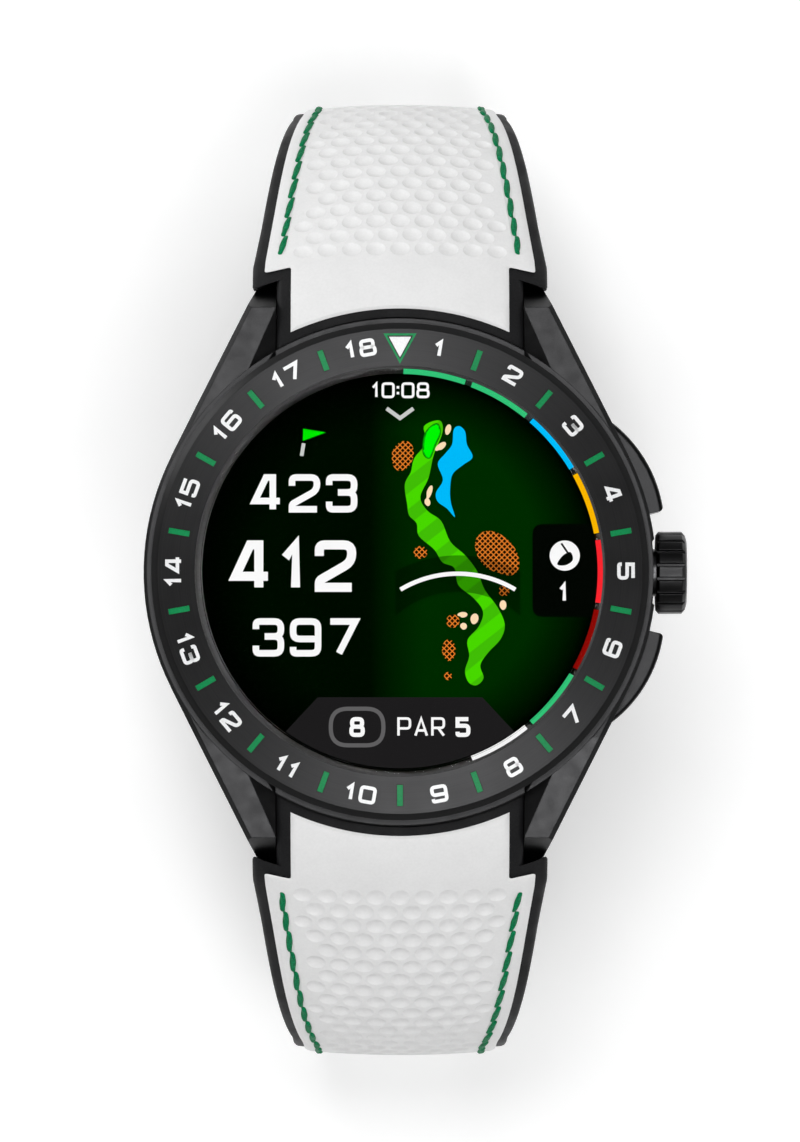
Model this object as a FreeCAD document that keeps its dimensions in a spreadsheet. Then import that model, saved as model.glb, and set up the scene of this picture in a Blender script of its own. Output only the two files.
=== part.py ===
"""Golf GPS watch: a round smartwatch head on a rubber strap closed by a folding clasp.

Frame: origin on the outer face of the clasp cover, under the centre of the dial. +Z points out of the dial,
+Y to 12 o'clock and +X to the crown. Millimetres. The head is modelled about its own datum, the underside of the
case, and every head piece is lifted by head_lift.
"""
import FreeCAD, Part
import math
import os
import re
import Sketcher

Vector = FreeCAD.Vector
Rotation = FreeCAD.Rotation
Placement = FreeCAD.Placement

# Driving dimensions: alias, value (millimetres, degrees or a count).
SIZES = [
    ("head_lift", 49.5),
    # case
    ("case_radius", 22.5), ("shoulder_top", 8.4), ("case_top", 9.2), ("flange_radius", 22.2),
    ("flange_bottom", 7.6),
    ("waist_radius", 20.7), ("cavity_radius", 16.8), ("seat_radius", 18.3), ("seat_floor", 8.0),
    ("back_seat_radius", 19.7), ("back_seat_depth", 1.0), ("case_chamfer", 0.9), ("flank_chamfer", 0.4),
    ("lug_lean", 26.6), ("lug_tip_y", 25.0), ("lug_tip_inner_y", 25.8), ("lug_gap_half", 10.9),
    ("lug_slope_y", 14.5), ("lug_knee_y", 23.3),
    ("lug_knee_z", 7.1), ("lug_tip_z", 2.4), ("facet_x", 13.4), ("facet_y", 17.6), ("facet_drop", 0.75),
    # bezel, crystal, display
    ("bezel_bottom", 9.2), ("bezel_side_top", 10.55), ("bezel_rim_z", 11.05), ("bezel_inner_z", 11.65),
    ("bezel_radius", 21.75), ("bezel_rim_radius", 21.2), ("bezel_bore", 17.9), ("bezel_hollow_depth", 0.7),
    ("bezel_hollow_inner", 18.7), ("bezel_hollow_outer", 20.6),
    ("tick_count", 18), ("tick_inner", 18.65), ("tick_outer", 20.5), ("tick_width", 0.5),
    ("tick_depth", 0.3),
    ("tick_sink", 0.08), ("marker_half", 1.0),
    ("crystal_radius", 17.7), ("crystal_bottom", 10.15), ("crystal_top", 11.95), ("crystal_chamfer", 0.35),
    ("display_radius", 17.3), ("display_top", 10.0), ("display_thick", 0.85), ("frame_bore", 15.5),
    ("frame_radius", 18.2),
    # inner pieces
    ("holder_radius", 16.7), ("holder_bore", 14.9), ("holder_bottom", 1.1), ("holder_top", 7.0),
    ("board_radius", 16.2), ("board_bottom", 7.05), ("board_thick", 0.8), ("battery_x", 19.0),
    ("battery_y", 17.0),
    ("battery_height", 3.1), ("battery_bottom", 1.9), ("motor_radius", 3.0), ("motor_height", 2.0),
    # case back
    ("back_radius", 19.6), ("back_thick", 2.0), ("window_radius", 11.0), ("window_dome", 0.7),
    ("back_ledge", 9.8), ("screw_circle", 18.35), ("screw_head_radius", 0.85), ("screw_shank_radius", 0.5),
    ("contact_x", 3.2), ("contact_y", 14.2), ("contact_radius", 0.9),
    # crown
    ("crown_z", 4.6), ("crown_inner_x", 22.5), ("crown_outer_x", 25.2), ("crown_radius", 3.62),
    ("crown_recess_radius", 2.4), ("crown_recess_depth", 1.1), ("flute_count", 18), ("flute_depth", 0.26),
    ("flute_width", 0.24), ("spot_face_x", 21.9), ("spot_face_radius", 4.1), ("tube_radius", 2.1),
    ("tube_bore", 1.3),
    ("tube_inner_x", 17.35), ("tube_outer_x", 22.9), ("stem_radius", 1.1), ("stem_inner_x", 14.7),
    # pushers
    ("pusher_angle", 25.5), ("pusher_half_span", 12.3), ("pusher_inner", 21.95), ("pusher_outer", 24.2),
    ("pusher_face_radius", 11.8), ("pusher_face_x", 11.98), ("pusher_face_y", 1.5),
    ("pusher_rounding", 0.4),
    ("pusher_half_height", 2.3), ("pusher_slot_floor", 21.25), ("pusher_play", 0.15),
    ("pusher_stem_radius", 0.8),
    ("pusher_bore_radius", 0.9), ("pusher_stem_inner", 14.7), ("clip_thick", 0.35),
    # strap
    ("strap_start_y", 22.4), ("strap_start_z", 8.0), ("strap_reach_y", 43.5), ("strap_end_y", 19.2),
    ("strap_low_z", 1.05), ("strap_turn_start", 10.0), ("strap_turn_lug", 41.0), ("strap_turn_wrist", 54.5),
    ("strap_turn_side", 90.0), ("strap_turn_under", 160.0), ("strap_turn_flat", 180.0),
    ("strap_lug_radius", 10.0),
    ("strap_wrist_radius", 66.0), ("strap_thick", 2.6), ("pad_thick", 0.6),
    ("pad_border", 1.05), ("strap_half_gap", 10.7), ("strap_half_shoulder", 13.0), ("strap_half_side", 9.8),
    ("strap_half_end", 9.4), ("strap_side_z", -18.0), ("strap_shoulder_z", 5.7), ("strap_clear_y", 26.0),
    ("strap_tail_y", 2.0), ("strap_fit_radius", 20.9), ("strap_lip_radius", 22.4), ("strap_lip_z", 7.35),
    ("strap_bend_gap", 0.3),
    # spring bars
    ("bar_y", 22.7), ("bar_z", 3.4), ("bar_radius", 0.9), ("bar_half", 10.6), ("bar_bore", 0.55),
    ("bar_tip_radius", 0.45), ("bar_tip_out", 11.9), ("bar_tip_in", 8.6), ("lug_hole_radius", 0.5),
    # clasp
    ("cover_half_width", 10.7), ("cover_front_y", 15.5), ("cover_back_y", 17.5), ("cover_height", 4.6),
    ("cover_floor", 1.0), ("cover_wall", 1.0), ("fold_y", 13.6), ("fold_z", 3.7), ("knee_y", 15.0),
    ("knee_z", 4.65),
    ("blade_thick", 0.8), ("blade_half", 9.5), ("blade_gap", 0.15), ("knuckle_radius", 0.9),
    ("pin_radius", 0.45),
    ("end_bar_radius", 0.75), ("eye_radius", 1.6), ("notch_half", 3.7), ("hook_half", 3.3),
    ("hook_radius", 1.5),
    ("leg_x", 5.3),
    ("button_y", 9.0), ("button_half_length", 2.6), ("button_low", 1.5), ("button_high", 3.5),
    ("button_proud", 0.8), ("peg_y", 4.0), ("peg_radius", 0.9),
]

doc = FreeCAD.newDocument("golf_gps_watch")
sheet = doc.addObject("Spreadsheet::Sheet", "Sizes")
for row, (alias, number) in enumerate(SIZES, start=1):
    sheet.set(f"A{row}", alias)
    sheet.set(f"B{row}", str(number))
    sheet.setAlias(f"B{row}", alias)
doc.recompute()
size = {alias: float(sheet.get(alias)) for alias, _ in SIZES}
LIFT = "head_lift"


def bound(expression):
    """The expression with each alias pointed at the sheet."""
    return re.sub(r"\b([a-z][a-z_]*[a-z])\b(?!\()", r"Sizes.\1", str(expression))


def lift(piece, height=LIFT):
    """Raises a piece from its own datum to its place in the watch."""
    piece.setExpression("Placement.Base.z", bound(height))
    return piece


# ---- sketches and PartDesign features ------------------------------------------------------------

def new_body(label):
    made = doc.addObject("PartDesign::Body", label)
    made.Label = label
    return made


def new_sketch(body, role, offset="0"):
    """A sketch on one of the body's origin planes, raised along that plane's normal."""
    made = body.newObject("Sketcher::SketchObject", body.Name + "_sketch")
    made.AttachmentSupport = (next(f for f in body.Origin.OriginFeatures if f.Role == role), "")
    made.MapMode = "FlatFace"
    made.setExpression("AttachmentOffset.Base.z", bound(offset))
    return made


def fix_point(sketch, line, end, x, y):
    for kind, expression in (("DistanceX", x), ("DistanceY", y)):
        index = sketch.addConstraint(Sketcher.Constraint(kind, -1, 1, line, end, 1.0))
        sketch.setExpression(f"Constraints[{index}]", bound(expression))


def polygon(sketch, corners):
    """A closed outline of straight lines; each corner is a pair of expressions."""
    first = sketch.GeometryCount
    count = len(corners)
    ring = [Vector(math.cos(2 * math.pi * i / count),
                   math.sin(2 * math.pi * i / count)) for i in range(count)]
    for i in range(count):
        sketch.addGeometry(Part.LineSegment(ring[i], ring[(i + 1) % count]))
    for i in range(count):
        sketch.addConstraint(Sketcher.Constraint("Coincident", first + i, 2, first + (i + 1) % count, 1))
        fix_point(sketch, first + i, 1, *corners[i])
    return sketch


def rectangle(sketch, x_low, x_high, y_low, y_high):
    return polygon(sketch, [(x_low, y_low), (x_high, y_low), (x_high, y_high), (x_low, y_high)])


def circle(sketch, radius, x="0", y="0"):
    index = sketch.addGeometry(Part.Circle(Vector(0, 0), Vector(0, 0, 1), 1.0))
    fix_point(sketch, index, 3, x, y)
    constraint = sketch.addConstraint(Sketcher.Constraint("Radius", index, 1.0))
    sketch.setExpression(f"Constraints[{constraint}]", bound(radius))
    return sketch


def extrude(body, sketch, length, kind="Pad", both_ways=False, reverse=False):
    made = body.newObject("PartDesign::" + kind, body.Name + "_" + kind.lower())
    made.Profile = sketch
    if both_ways:
        made.SideType = "Symmetric"
    made.Reversed = reverse
    made.setExpression("Length", bound(length))
    return made


def revolve(body, corners, axis="V_Axis", kind="Revolution"):
    """Turns an outline of (radius, height) pairs about Z, or of (length, radius) pairs about X."""
    sketch = polygon(new_sketch(body, "XZ_Plane"), corners)
    made = body.newObject("PartDesign::" + kind, body.Name + "_" + kind.lower())
    made.Profile = sketch
    made.ReferenceAxis = (sketch, [axis])
    made.Angle = 360
    return made


def turned(label, corners, axis="V_Axis", height=LIFT):
    """A piece that is one revolved outline."""
    made = new_body(label)
    revolve(made, corners, axis)
    return lift(made, height)


def dress(body, kind, amount, wanted):
    """Chamfers or fillets the edges of the body's tip that the test picks out."""
    doc.recompute()
    tip = body.Tip
    names = [f"Edge{i}" for i, edge in enumerate(tip.Shape.Edges, start=1) if wanted(edge)]
    made = body.newObject("PartDesign::" + kind, body.Name + "_" + kind.lower())
    made.Base = (tip, names)
    made.setExpression("Size" if kind == "Chamfer" else "Radius", bound(amount))
    return made


def ends(edge):
    return [vertex.Point for vertex in edge.Vertexes]


# ---- Part primitives and booleans ----------------------------------------------------------------

def put(piece, x="0", y="0", z="0"):
    for name, expression in (("x", x), ("y", y), ("z", z)):
        piece.setExpression("Placement.Base." + name, bound(expression))
    return piece


def box(label, x, y, z, length, width, height):
    """A box whose low corner is at x, y, z."""
    made = doc.addObject("Part::Box", label)
    for name, expression in (("Length", length), ("Width", width), ("Height", height)):
        made.setExpression(name, bound(expression))
    return put(made, x, y, z)


def rod(label, radius, length, x="0", y="0", z="0", along="z"):
    """A cylinder from x, y, z along one axis."""
    made = doc.addObject("Part::Cylinder", label)
    made.setExpression("Radius", bound(radius))
    made.setExpression("Height", bound(length))
    turn = {"z": Rotation(), "x": Rotation(Vector(0, 1, 0), 90), "y": Rotation(Vector(1, 0, 0), -90)}[along]
    made.Placement = Placement(Vector(), turn)
    return put(made, x, y, z)


def ring(label, centre_radius, wire_radius, x="0", y="0", z="0", along="z"):
    """A torus; wire_radius is half the thickness of its wire."""
    made = doc.addObject("Part::Torus", label)
    made.setExpression("Radius1", bound(centre_radius))
    made.setExpression("Radius2", bound(wire_radius))
    turn = Rotation(Vector(0, 1, 0), 90) if along == "x" else Rotation()
    made.Placement = Placement(Vector(), turn)
    return put(made, x, y, z)


def cut(label, base, *tools):
    made = doc.addObject("Part::Cut", label)
    made.Base = base
    made.Tool = tools[0] if len(tools) == 1 else fuse(label + "_tools", *tools)
    return made


def fuse(label, *parts):
    made = doc.addObject("Part::MultiFuse", label)
    made.Shapes = list(parts)
    return made


def common(label, base, tool):
    made = doc.addObject("Part::Common", label)
    made.Base = base
    made.Tool = tool
    return made


def group(label, *parts):
    """Several separate solids in one node."""
    made = doc.addObject("Part::Compound", label)
    made.Links = list(parts)
    return made


def feature(label, shape):
    made = doc.addObject("Part::Feature", label)
    made.Shape = shape
    return made


def spin(piece, degrees):
    """Turns a finished piece about the watch's centre line."""
    piece.Placement = Placement(Vector(0, 0, size["head_lift"]), Rotation(Vector(0, 0, 1), degrees))
    return piece


nodes = {}


def keep(label, piece):
    """Names a finished piece as a node of the watch."""
    piece.Label = label
    nodes[label] = piece
    return piece


# ---- case ----------------------------------------------------------------------------------------

def facet_tools():
    """Four wedges that cut the sloped triangular facet along the inner edge of each lug."""
    s = size
    slope = (s["shoulder_top"] - s["lug_knee_z"]) / (s["lug_knee_y"] - s["lug_slope_y"])
    high = s["shoulder_top"] - (s["facet_y"] - s["lug_slope_y"]) * slope
    inner_x = s["lug_gap_half"]
    corner = Vector(inner_x, s["lug_knee_y"], s["lug_knee_z"])
    outer = Vector(s["facet_x"], s["facet_y"], high)
    low = Vector(inner_x, s["facet_y"], high - s["facet_drop"])
    above = Vector(inner_x, s["facet_y"], s["case_top"] + 1)
    faces = [(corner, outer, low), (corner, outer, above), (corner, low, above), (outer, low, above)]
    shell = Part.makeShell([Part.Face(Part.makePolygon([*face, face[0]])) for face in faces])
    wedge = Part.makeSolid(shell)
    pair = [wedge, wedge.mirror(Vector(), Vector(1, 0, 0))]
    return feature("lug_facet_tools", Part.makeCompound(pair + [w.mirror(Vector(),
                                                                         Vector(0, 1, 0)) for w in pair]))


def case_blank():
    """The outer form: a chamfered disc whose straight flanks leave it at a tangent and end in the lugs."""
    made = new_body("case_blank")
    tangent_x = "case_radius * cos(lug_lean)"
    tangent_y = "case_radius * sin(lug_lean)"
    tip_x = "case_radius / cos(lug_lean) - lug_tip_y * tan(lug_lean)"
    quarter = [(f"{tangent_x} / 2", f"{tangent_y} / 2"), (tangent_x, tangent_y), (tip_x, "lug_tip_y"),
               ("lug_gap_half", "lug_tip_inner_y")]
    plate = quarter + [(f"-({x})", y) for x, y in reversed(quarter)]
    plate += [(f"-({x})", f"-({y})") for x, y in quarter] + [(x, f"-({y})") for x, y in reversed(quarter)]
    extrude(made, polygon(new_sketch(made, "XY_Plane"), plate), "shoulder_top")
    for side in ("", "-"):
        slope = [(f"{side}lug_slope_y", "shoulder_top"), (f"{side}lug_knee_y", "lug_knee_z"),
                 (f"{side}lug_tip_inner_y", "lug_tip_z"), (f"{side}(lug_tip_inner_y + 1)", "lug_tip_z"),
                 (f"{side}(lug_tip_inner_y + 1)", "shoulder_top + 1"),
                 (f"{side}lug_slope_y", "shoulder_top + 1")]
        extrude(made, polygon(new_sketch(made, "YZ_Plane"), slope), "4 * case_radius", "Pocket",
                both_ways=True)

    def along_flank(edge):
        """True for the upper and lower edges of the straight flanks."""
        lean = math.radians(size["lug_lean"])
        points = ends(edge)
        reaches = [abs(p.x) * math.cos(lean) + abs(p.y) * math.sin(lean) for p in points]
        on_flank = all(abs(reach - size["case_radius"]) < 0.01 for reach in reaches)
        return on_flank and abs(points[0].y - points[-1].y) > 3

    dress(made, "Chamfer", "flank_chamfer", along_flank)
    for side in ("", "-"):
        gap = new_sketch(made, "XY_Plane")
        rectangle(gap, "-lug_gap_half", "lug_gap_half", f"{side}5", f"{side}(lug_tip_inner_y + 1)")
        extrude(made, gap, "4 * case_top", "Pocket", both_ways=True)
    disc = [("0", "0"), ("case_radius - case_chamfer", "0"), ("case_radius", "case_chamfer"),
            ("case_radius", "shoulder_top - case_chamfer"), ("case_radius - case_chamfer", "shoulder_top"),
            ("flange_radius", "shoulder_top"), ("flange_radius", "case_top"), ("0", "case_top")]
    revolve(made, disc)
    for side in ("", "-"):
        gap = new_sketch(made, "XY_Plane", "-1")
        rectangle(gap, "-lug_gap_half", "lug_gap_half", f"{side}12", f"{side}(lug_tip_inner_y + 1)")
        extrude(made, gap, "flange_bottom + 1", "Pocket", reverse=True)
    extrude(made, circle(new_sketch(made, "XY_Plane"), "waist_radius"), "case_top")
    bore = [("0", "-1"), ("back_seat_radius", "-1"), ("back_seat_radius", "back_seat_depth"),
            ("cavity_radius", "back_seat_depth"), ("cavity_radius", "seat_floor"),
            ("seat_radius", "seat_floor"),
            ("seat_radius", "case_top + 1"), ("0", "case_top + 1")]
    revolve(made, bore, kind="Groove")
    return made


def pusher_slot(angle):
    """The pocket in the case side that one pusher cap travels in, and the bore for its stem."""
    name = "upper" if angle > 0 else "lower"
    height = "2 * (pusher_half_height + pusher_play)"
    low = "crown_z - pusher_half_height - pusher_play"
    sector = rod(f"slot_{name}_sector", "pusher_outer + 2", height, z=low)
    sector.setExpression("Angle", bound("2 * (pusher_half_span + 0.6)"))
    sector.Placement.Rotation = Rotation(Vector(0, 0, 1), angle - size["pusher_half_span"] - 0.6)
    core = rod(f"slot_{name}_core", "pusher_slot_floor", height, z=low)
    bore = doc.addObject("Part::Cylinder", f"slot_{name}_bore")
    bore.setExpression("Radius", bound("pusher_bore_radius"))
    bore.setExpression("Height", bound("case_radius"))
    bore.Placement = Placement(Vector(), Rotation(Vector(0, 0, 1), angle) * Rotation(Vector(0, 1, 0), 90))
    put(bore, z="crown_z")
    return [cut(f"slot_{name}", sector, core), bore]


def case_middle():
    """The round case with four lugs, its bores and its seats."""
    tools = [facet_tools()]
    tools.append(rod("crown_spot_face", "spot_face_radius", "case_radius", "spot_face_x", z="crown_z",
                     along="x"))
    tools.append(rod("crown_bore", "tube_radius", "case_radius", z="crown_z", along="x"))
    tools += pusher_slot(size["pusher_angle"]) + pusher_slot(-size["pusher_angle"])
    for i, (side_x, side_y) in enumerate([("", ""), ("-", ""), ("", "-"), ("-", "-")]):
        start = "lug_gap_half - 1" if not side_x else "-(bar_tip_out + 0.1)"
        tools.append(rod(f"lug_hole_{i}", "lug_hole_radius", "bar_tip_out + 0.1 - lug_gap_half + 1", start,
                         f"{side_y}bar_y", "bar_z", along="x"))
    for i in range(4):
        tools.append(rod(f"back_screw_hole_{i}", "screw_shank_radius", "3.4", *screw_place(i), "0.1"))
    keep("case_middle", lift(cut("case_middle", case_blank(), *tools)))


def screw_place(index):
    """X and Y of one of the four case back screws, as expressions."""
    sign_x = "-" if index in (1, 2) else ""
    sign_y = "-" if index in (2, 3) else ""
    return f"{sign_x}screw_circle * cos(45)", f"{sign_y}screw_circle * sin(45)"


# ---- bezel, crystal and display ------------------------------------------------------------------

def cone_shell(label, above, below):
    """A shell that follows the bezel's sloping face, from one height above it to one depth below."""
    made = new_body(label)
    slope = "(bezel_inner_z - bezel_rim_z) / (bezel_rim_radius - bezel_bore)"
    inner, outer = "bezel_bore + 0.2", "bezel_rim_radius - 0.2"
    inner_z = f"bezel_inner_z - 0.2 * {slope}"
    outer_z = f"bezel_rim_z + 0.2 * {slope}"
    revolve(made, [(inner, f"{inner_z} + {above}"), (outer, f"{outer_z} + {above}"),
                   (outer, f"{outer_z} + {below}"), (inner, f"{inner_z} + {below}")])
    return made


def tick_bars(label):
    """The radial bars between the hole numbers; twelve o'clock has the triangle instead."""
    step = 360.0 / size["tick_count"]
    bars = []
    for i in range(1, int(size["tick_count"])):
        bar = box(f"{label}_{i}", "0", "0", "0", "tick_outer - tick_inner", "tick_width", "case_top")
        turn = Rotation(Vector(0, 0, 1), 90 - i * step)
        corner = turn.multVec(Vector(size["tick_inner"], -size["tick_width"] / 2,
                                     size["bezel_bottom"] + 0.8))
        for axis in "xyz":
            bar.setExpression("Placement.Base." + axis, None)
        bar.Placement = Placement(corner, turn)
        bars.append(bar)
    return fuse(label, *bars)


def marker_prism(label, inset):
    """The triangle that marks the top of the bezel, drawn in by an inset."""
    made = new_body(label)
    half = f"marker_half - {inset} * 1.4"
    polygon(new_sketch(made, "XY_Plane", "bezel_bottom + 0.8"), [
        (f"-({half})", f"tick_outer - {inset}"), (half, f"tick_outer - {inset}"),
        ("0", f"tick_inner + 1.6 * {inset}")])
    extrude(made, made.Group[-1], "case_top")
    return made


def bezel():
    """The sloping ring, its lacquered ticks, the triangle at the top and the antenna in its underside."""
    blank = new_body("bezel_blank")
    revolve(blank, [("bezel_bore", "bezel_bottom"), ("bezel_radius", "bezel_bottom"),
                    ("bezel_radius", "bezel_side_top"), ("bezel_rim_radius", "bezel_rim_z"),
                    ("bezel_bore", "bezel_inner_z")])
    hollow = "bezel_bottom + bezel_hollow_depth"
    revolve(blank, [("bezel_hollow_inner", "bezel_bottom - 1"), ("bezel_hollow_outer", "bezel_bottom - 1"),
                    ("bezel_hollow_outer", hollow), ("bezel_hollow_inner", hollow)], kind="Groove")
    marks = fuse("groove_marks", tick_bars("groove_bars"), marker_prism("groove_marker", "0"))
    groove = common("mark_grooves", marks, cone_shell("groove_shell", "1", "-tick_depth"))
    keep("bezel_ring", lift(cut("bezel_ring", blank, groove)))
    keep("bezel_ticks", lift(common("bezel_ticks", tick_bars("lacquer_bars"),
                                    cone_shell("lacquer_shell", "-tick_sink", "-tick_depth"))))
    keep("bezel_marker", lift(common("bezel_marker", marker_prism("lacquer_marker", "0.02"),
                                     cone_shell("marker_shell", "-tick_sink", "-tick_depth"))))
    keep("antenna_ring", turned("antenna_ring", [
        ("bezel_hollow_inner + 0.1", "bezel_bottom"), ("bezel_hollow_outer - 0.1", "bezel_bottom"),
        ("bezel_hollow_outer - 0.1", f"{hollow} - 0.1"), ("bezel_hollow_inner + 0.1", f"{hollow} - 0.1")]))


def crystal_and_display():
    edge = "crystal_radius - crystal_chamfer"
    keep("crystal", turned("crystal", [
        ("0", "crystal_bottom"), ("crystal_radius", "crystal_bottom"),
        ("crystal_radius", "crystal_top - crystal_chamfer"), (edge, "crystal_top"), ("0", "crystal_top")]))
    keep("crystal_gasket", turned("crystal_gasket", [
        ("crystal_radius", "crystal_bottom"), ("bezel_bore", "crystal_bottom"),
        ("bezel_bore", "crystal_top - 0.6"), ("crystal_radius", "crystal_top - 0.6")]))
    keep("display_panel", turned("display_panel", [
        ("0", "display_top - display_thick"), ("display_radius", "display_top - display_thick"),
        ("display_radius", "display_top"), ("0", "display_top")]))
    keep("display_frame", turned("display_frame", [
        ("frame_bore", "seat_floor"), ("frame_radius", "seat_floor"),
        ("frame_radius", "display_top - display_thick"), ("frame_bore", "display_top - display_thick")]))


# ---- inner pieces --------------------------------------------------------------------------------

def inner_pieces():
    holder = new_body("holder_blank")
    revolve(holder, [("holder_bore", "holder_bottom"), ("holder_radius", "holder_bottom"),
                     ("holder_radius", "holder_top"), ("holder_bore", "holder_top")])
    notches = []
    for i, angle in enumerate((0, size["pusher_angle"], -size["pusher_angle"])):
        notch = doc.addObject("Part::Cylinder", f"holder_notch_{i}")
        notch.setExpression("Radius", bound("tube_radius + 0.2"))
        notch.setExpression("Height", bound("case_radius"))
        notch.Placement = Placement(Vector(), Rotation(Vector(0, 0, 1), angle) * Rotation(Vector(0, 1, 0),
                                                                                          90))
        notches.append(put(notch, z="crown_z"))
    keep("movement_holder", lift(cut("movement_holder", holder, *notches)))

    board = new_body("main_board")
    sketch = circle(new_sketch(board, "XY_Plane", "board_bottom"), "board_radius")
    circle(sketch, "1.1", "-9", "9")
    circle(sketch, "1.1", "-9", "-9")
    extrude(board, sketch, "board_thick")
    keep("main_board", lift(board))

    chips = [(-8, 2, 7, 7), (1.5, 3.5, 6, 5), (-7, -9, 5, 4.5), (1, -8, 4, 6), (7.5, -3.5, 3, 3)]
    parts = [box(f"chip_{i}", str(x), str(y), "board_bottom - 1.2", str(dx), str(dy), "1.2")
             for i, (x, y, dx, dy) in enumerate(chips)]
    keep("board_chips", lift(group("board_chips", *parts)))

    battery = new_body("battery")
    rectangle(new_sketch(battery, "XY_Plane", "battery_bottom"), "-battery_x * 0.6", "battery_x * 0.4",
              "-battery_y / 2", "battery_y / 2")
    extrude(battery, battery.Group[-1], "battery_height")
    dress(battery, "Fillet", "1.2", lambda edge: abs(ends(edge)[0].z - ends(edge)[-1].z) > 1)
    keep("battery", lift(battery))
    keep("vibration_motor", lift(group("vibration_motor", rod(
        "motor_can", "motor_radius", "motor_height", "battery_x * 0.4 + motor_radius + 0.4", "-3.4",
        "battery_bottom"))))

    switches = []
    for i, angle in enumerate((0, size["pusher_angle"], -size["pusher_angle"])):
        switch = doc.addObject("Part::Box", f"switch_{i}")
        switch.Length, switch.Width, switch.Height = 0.9, 2.6, 1.8
        turn = Rotation(Vector(0, 0, 1), angle)
        switch.Placement = Placement(turn.multVec(Vector(13.1, -1.3, size["crown_z"] - 0.6)), turn)
        switches.append(switch)
    keep("tact_switches", lift(group("tact_switches", *switches)))


# ---- case back -----------------------------------------------------------------------------------

def case_back():
    ring_body = new_body("case_back_blank")
    outer_z = "back_seat_depth - back_thick"
    revolve(ring_body, [
        ("back_ledge", "back_seat_depth - 0.7"), ("back_ledge", "back_seat_depth"),
        ("back_radius", "back_seat_depth"),
        ("back_radius", f"{outer_z} + 0.5"), ("back_radius - 0.6", outer_z), ("window_radius", outer_z),
        ("window_radius", "back_seat_depth - 0.7")])
    revolve(ring_body, [("16.95", "back_seat_depth - 0.5"), ("17.45", "back_seat_depth - 0.5"),
                        ("17.45", "back_seat_depth + 1"), ("16.95", "back_seat_depth + 1")], kind="Groove")
    tools = []
    for i in range(4):
        x, y = screw_place(i)
        tools.append(rod(f"screw_clear_{i}", "screw_shank_radius + 0.1", "4", x, y, "-2"))
        tools.append(rod(f"screw_sink_{i}", "screw_head_radius + 0.1", "1", x, y, f"{outer_z} - 0.2"))
    for i, side in enumerate(("-", "")):
        tools.append(rod(f"contact_hole_{i}", "contact_radius", "4", f"{side}contact_x", "-contact_y",
                         "-2"))
    keep("case_back", lift(cut("case_back", ring_body, *tools)))
    keep("case_back_gasket", lift(ring("case_back_gasket", "17.2", "0.22"),
                                  "head_lift + back_seat_depth - 0.25"))

    keep("sensor_window", turned("sensor_window", [
        ("0", "back_seat_depth - 0.7"), ("window_radius - 0.05", "back_seat_depth - 0.7"),
        ("window_radius - 0.05", outer_z), ("window_radius - 0.8", f"{outer_z} - window_dome * 0.45"),
        ("window_radius - 3.5", f"{outer_z} - window_dome * 0.85"),
        ("window_radius - 6", f"{outer_z} - window_dome"),
        ("0", f"{outer_z} - window_dome")]))
    keep("sensor_board", lift(group("sensor_board",
                                    rod("sensor_disc", "back_ledge - 0.3", "0.6", z="0.75"))))
    spots = [(0, 0), (0, 4.6), (0, -4.6), (4.6, 0), (-4.6, 0)]
    leds = [box(f"led_{i}", f"{x} - 1", f"{y} - 1", "0.32", "2", "2", "0.4") for i,
            (x, y) in enumerate(spots)]
    keep("sensor_leds", lift(group("sensor_leds", *leds)))

    screws = []
    for i in range(4):
        x, y = screw_place(i)
        head = rod(f"screw_head_{i}", "screw_head_radius", "0.6", x, y, f"{outer_z} + 0.15")
        shank = rod(f"screw_shank_{i}", "screw_shank_radius", "3.5", x, y, f"{outer_z} + 0.75")
        slot = rod(f"screw_drive_{i}", "0.38", "0.4", x, y, f"{outer_z} + 0.05")
        screws.append(cut(f"screw_{i}", fuse(f"screw_solid_{i}", head, shank), slot))
    keep("case_back_screws", lift(group("case_back_screws", *screws)))
    pins = [rod(f"contact_{i}", "contact_radius - 0.05", "back_thick", f"{side}contact_x", "-contact_y",
                outer_z)
            for i, side in enumerate(("-", ""))]
    keep("charging_contacts", lift(group("charging_contacts", *pins)))


# ---- crown and pushers ---------------------------------------------------------------------------

CROWN_HEIGHT = "head_lift + crown_z"


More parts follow.
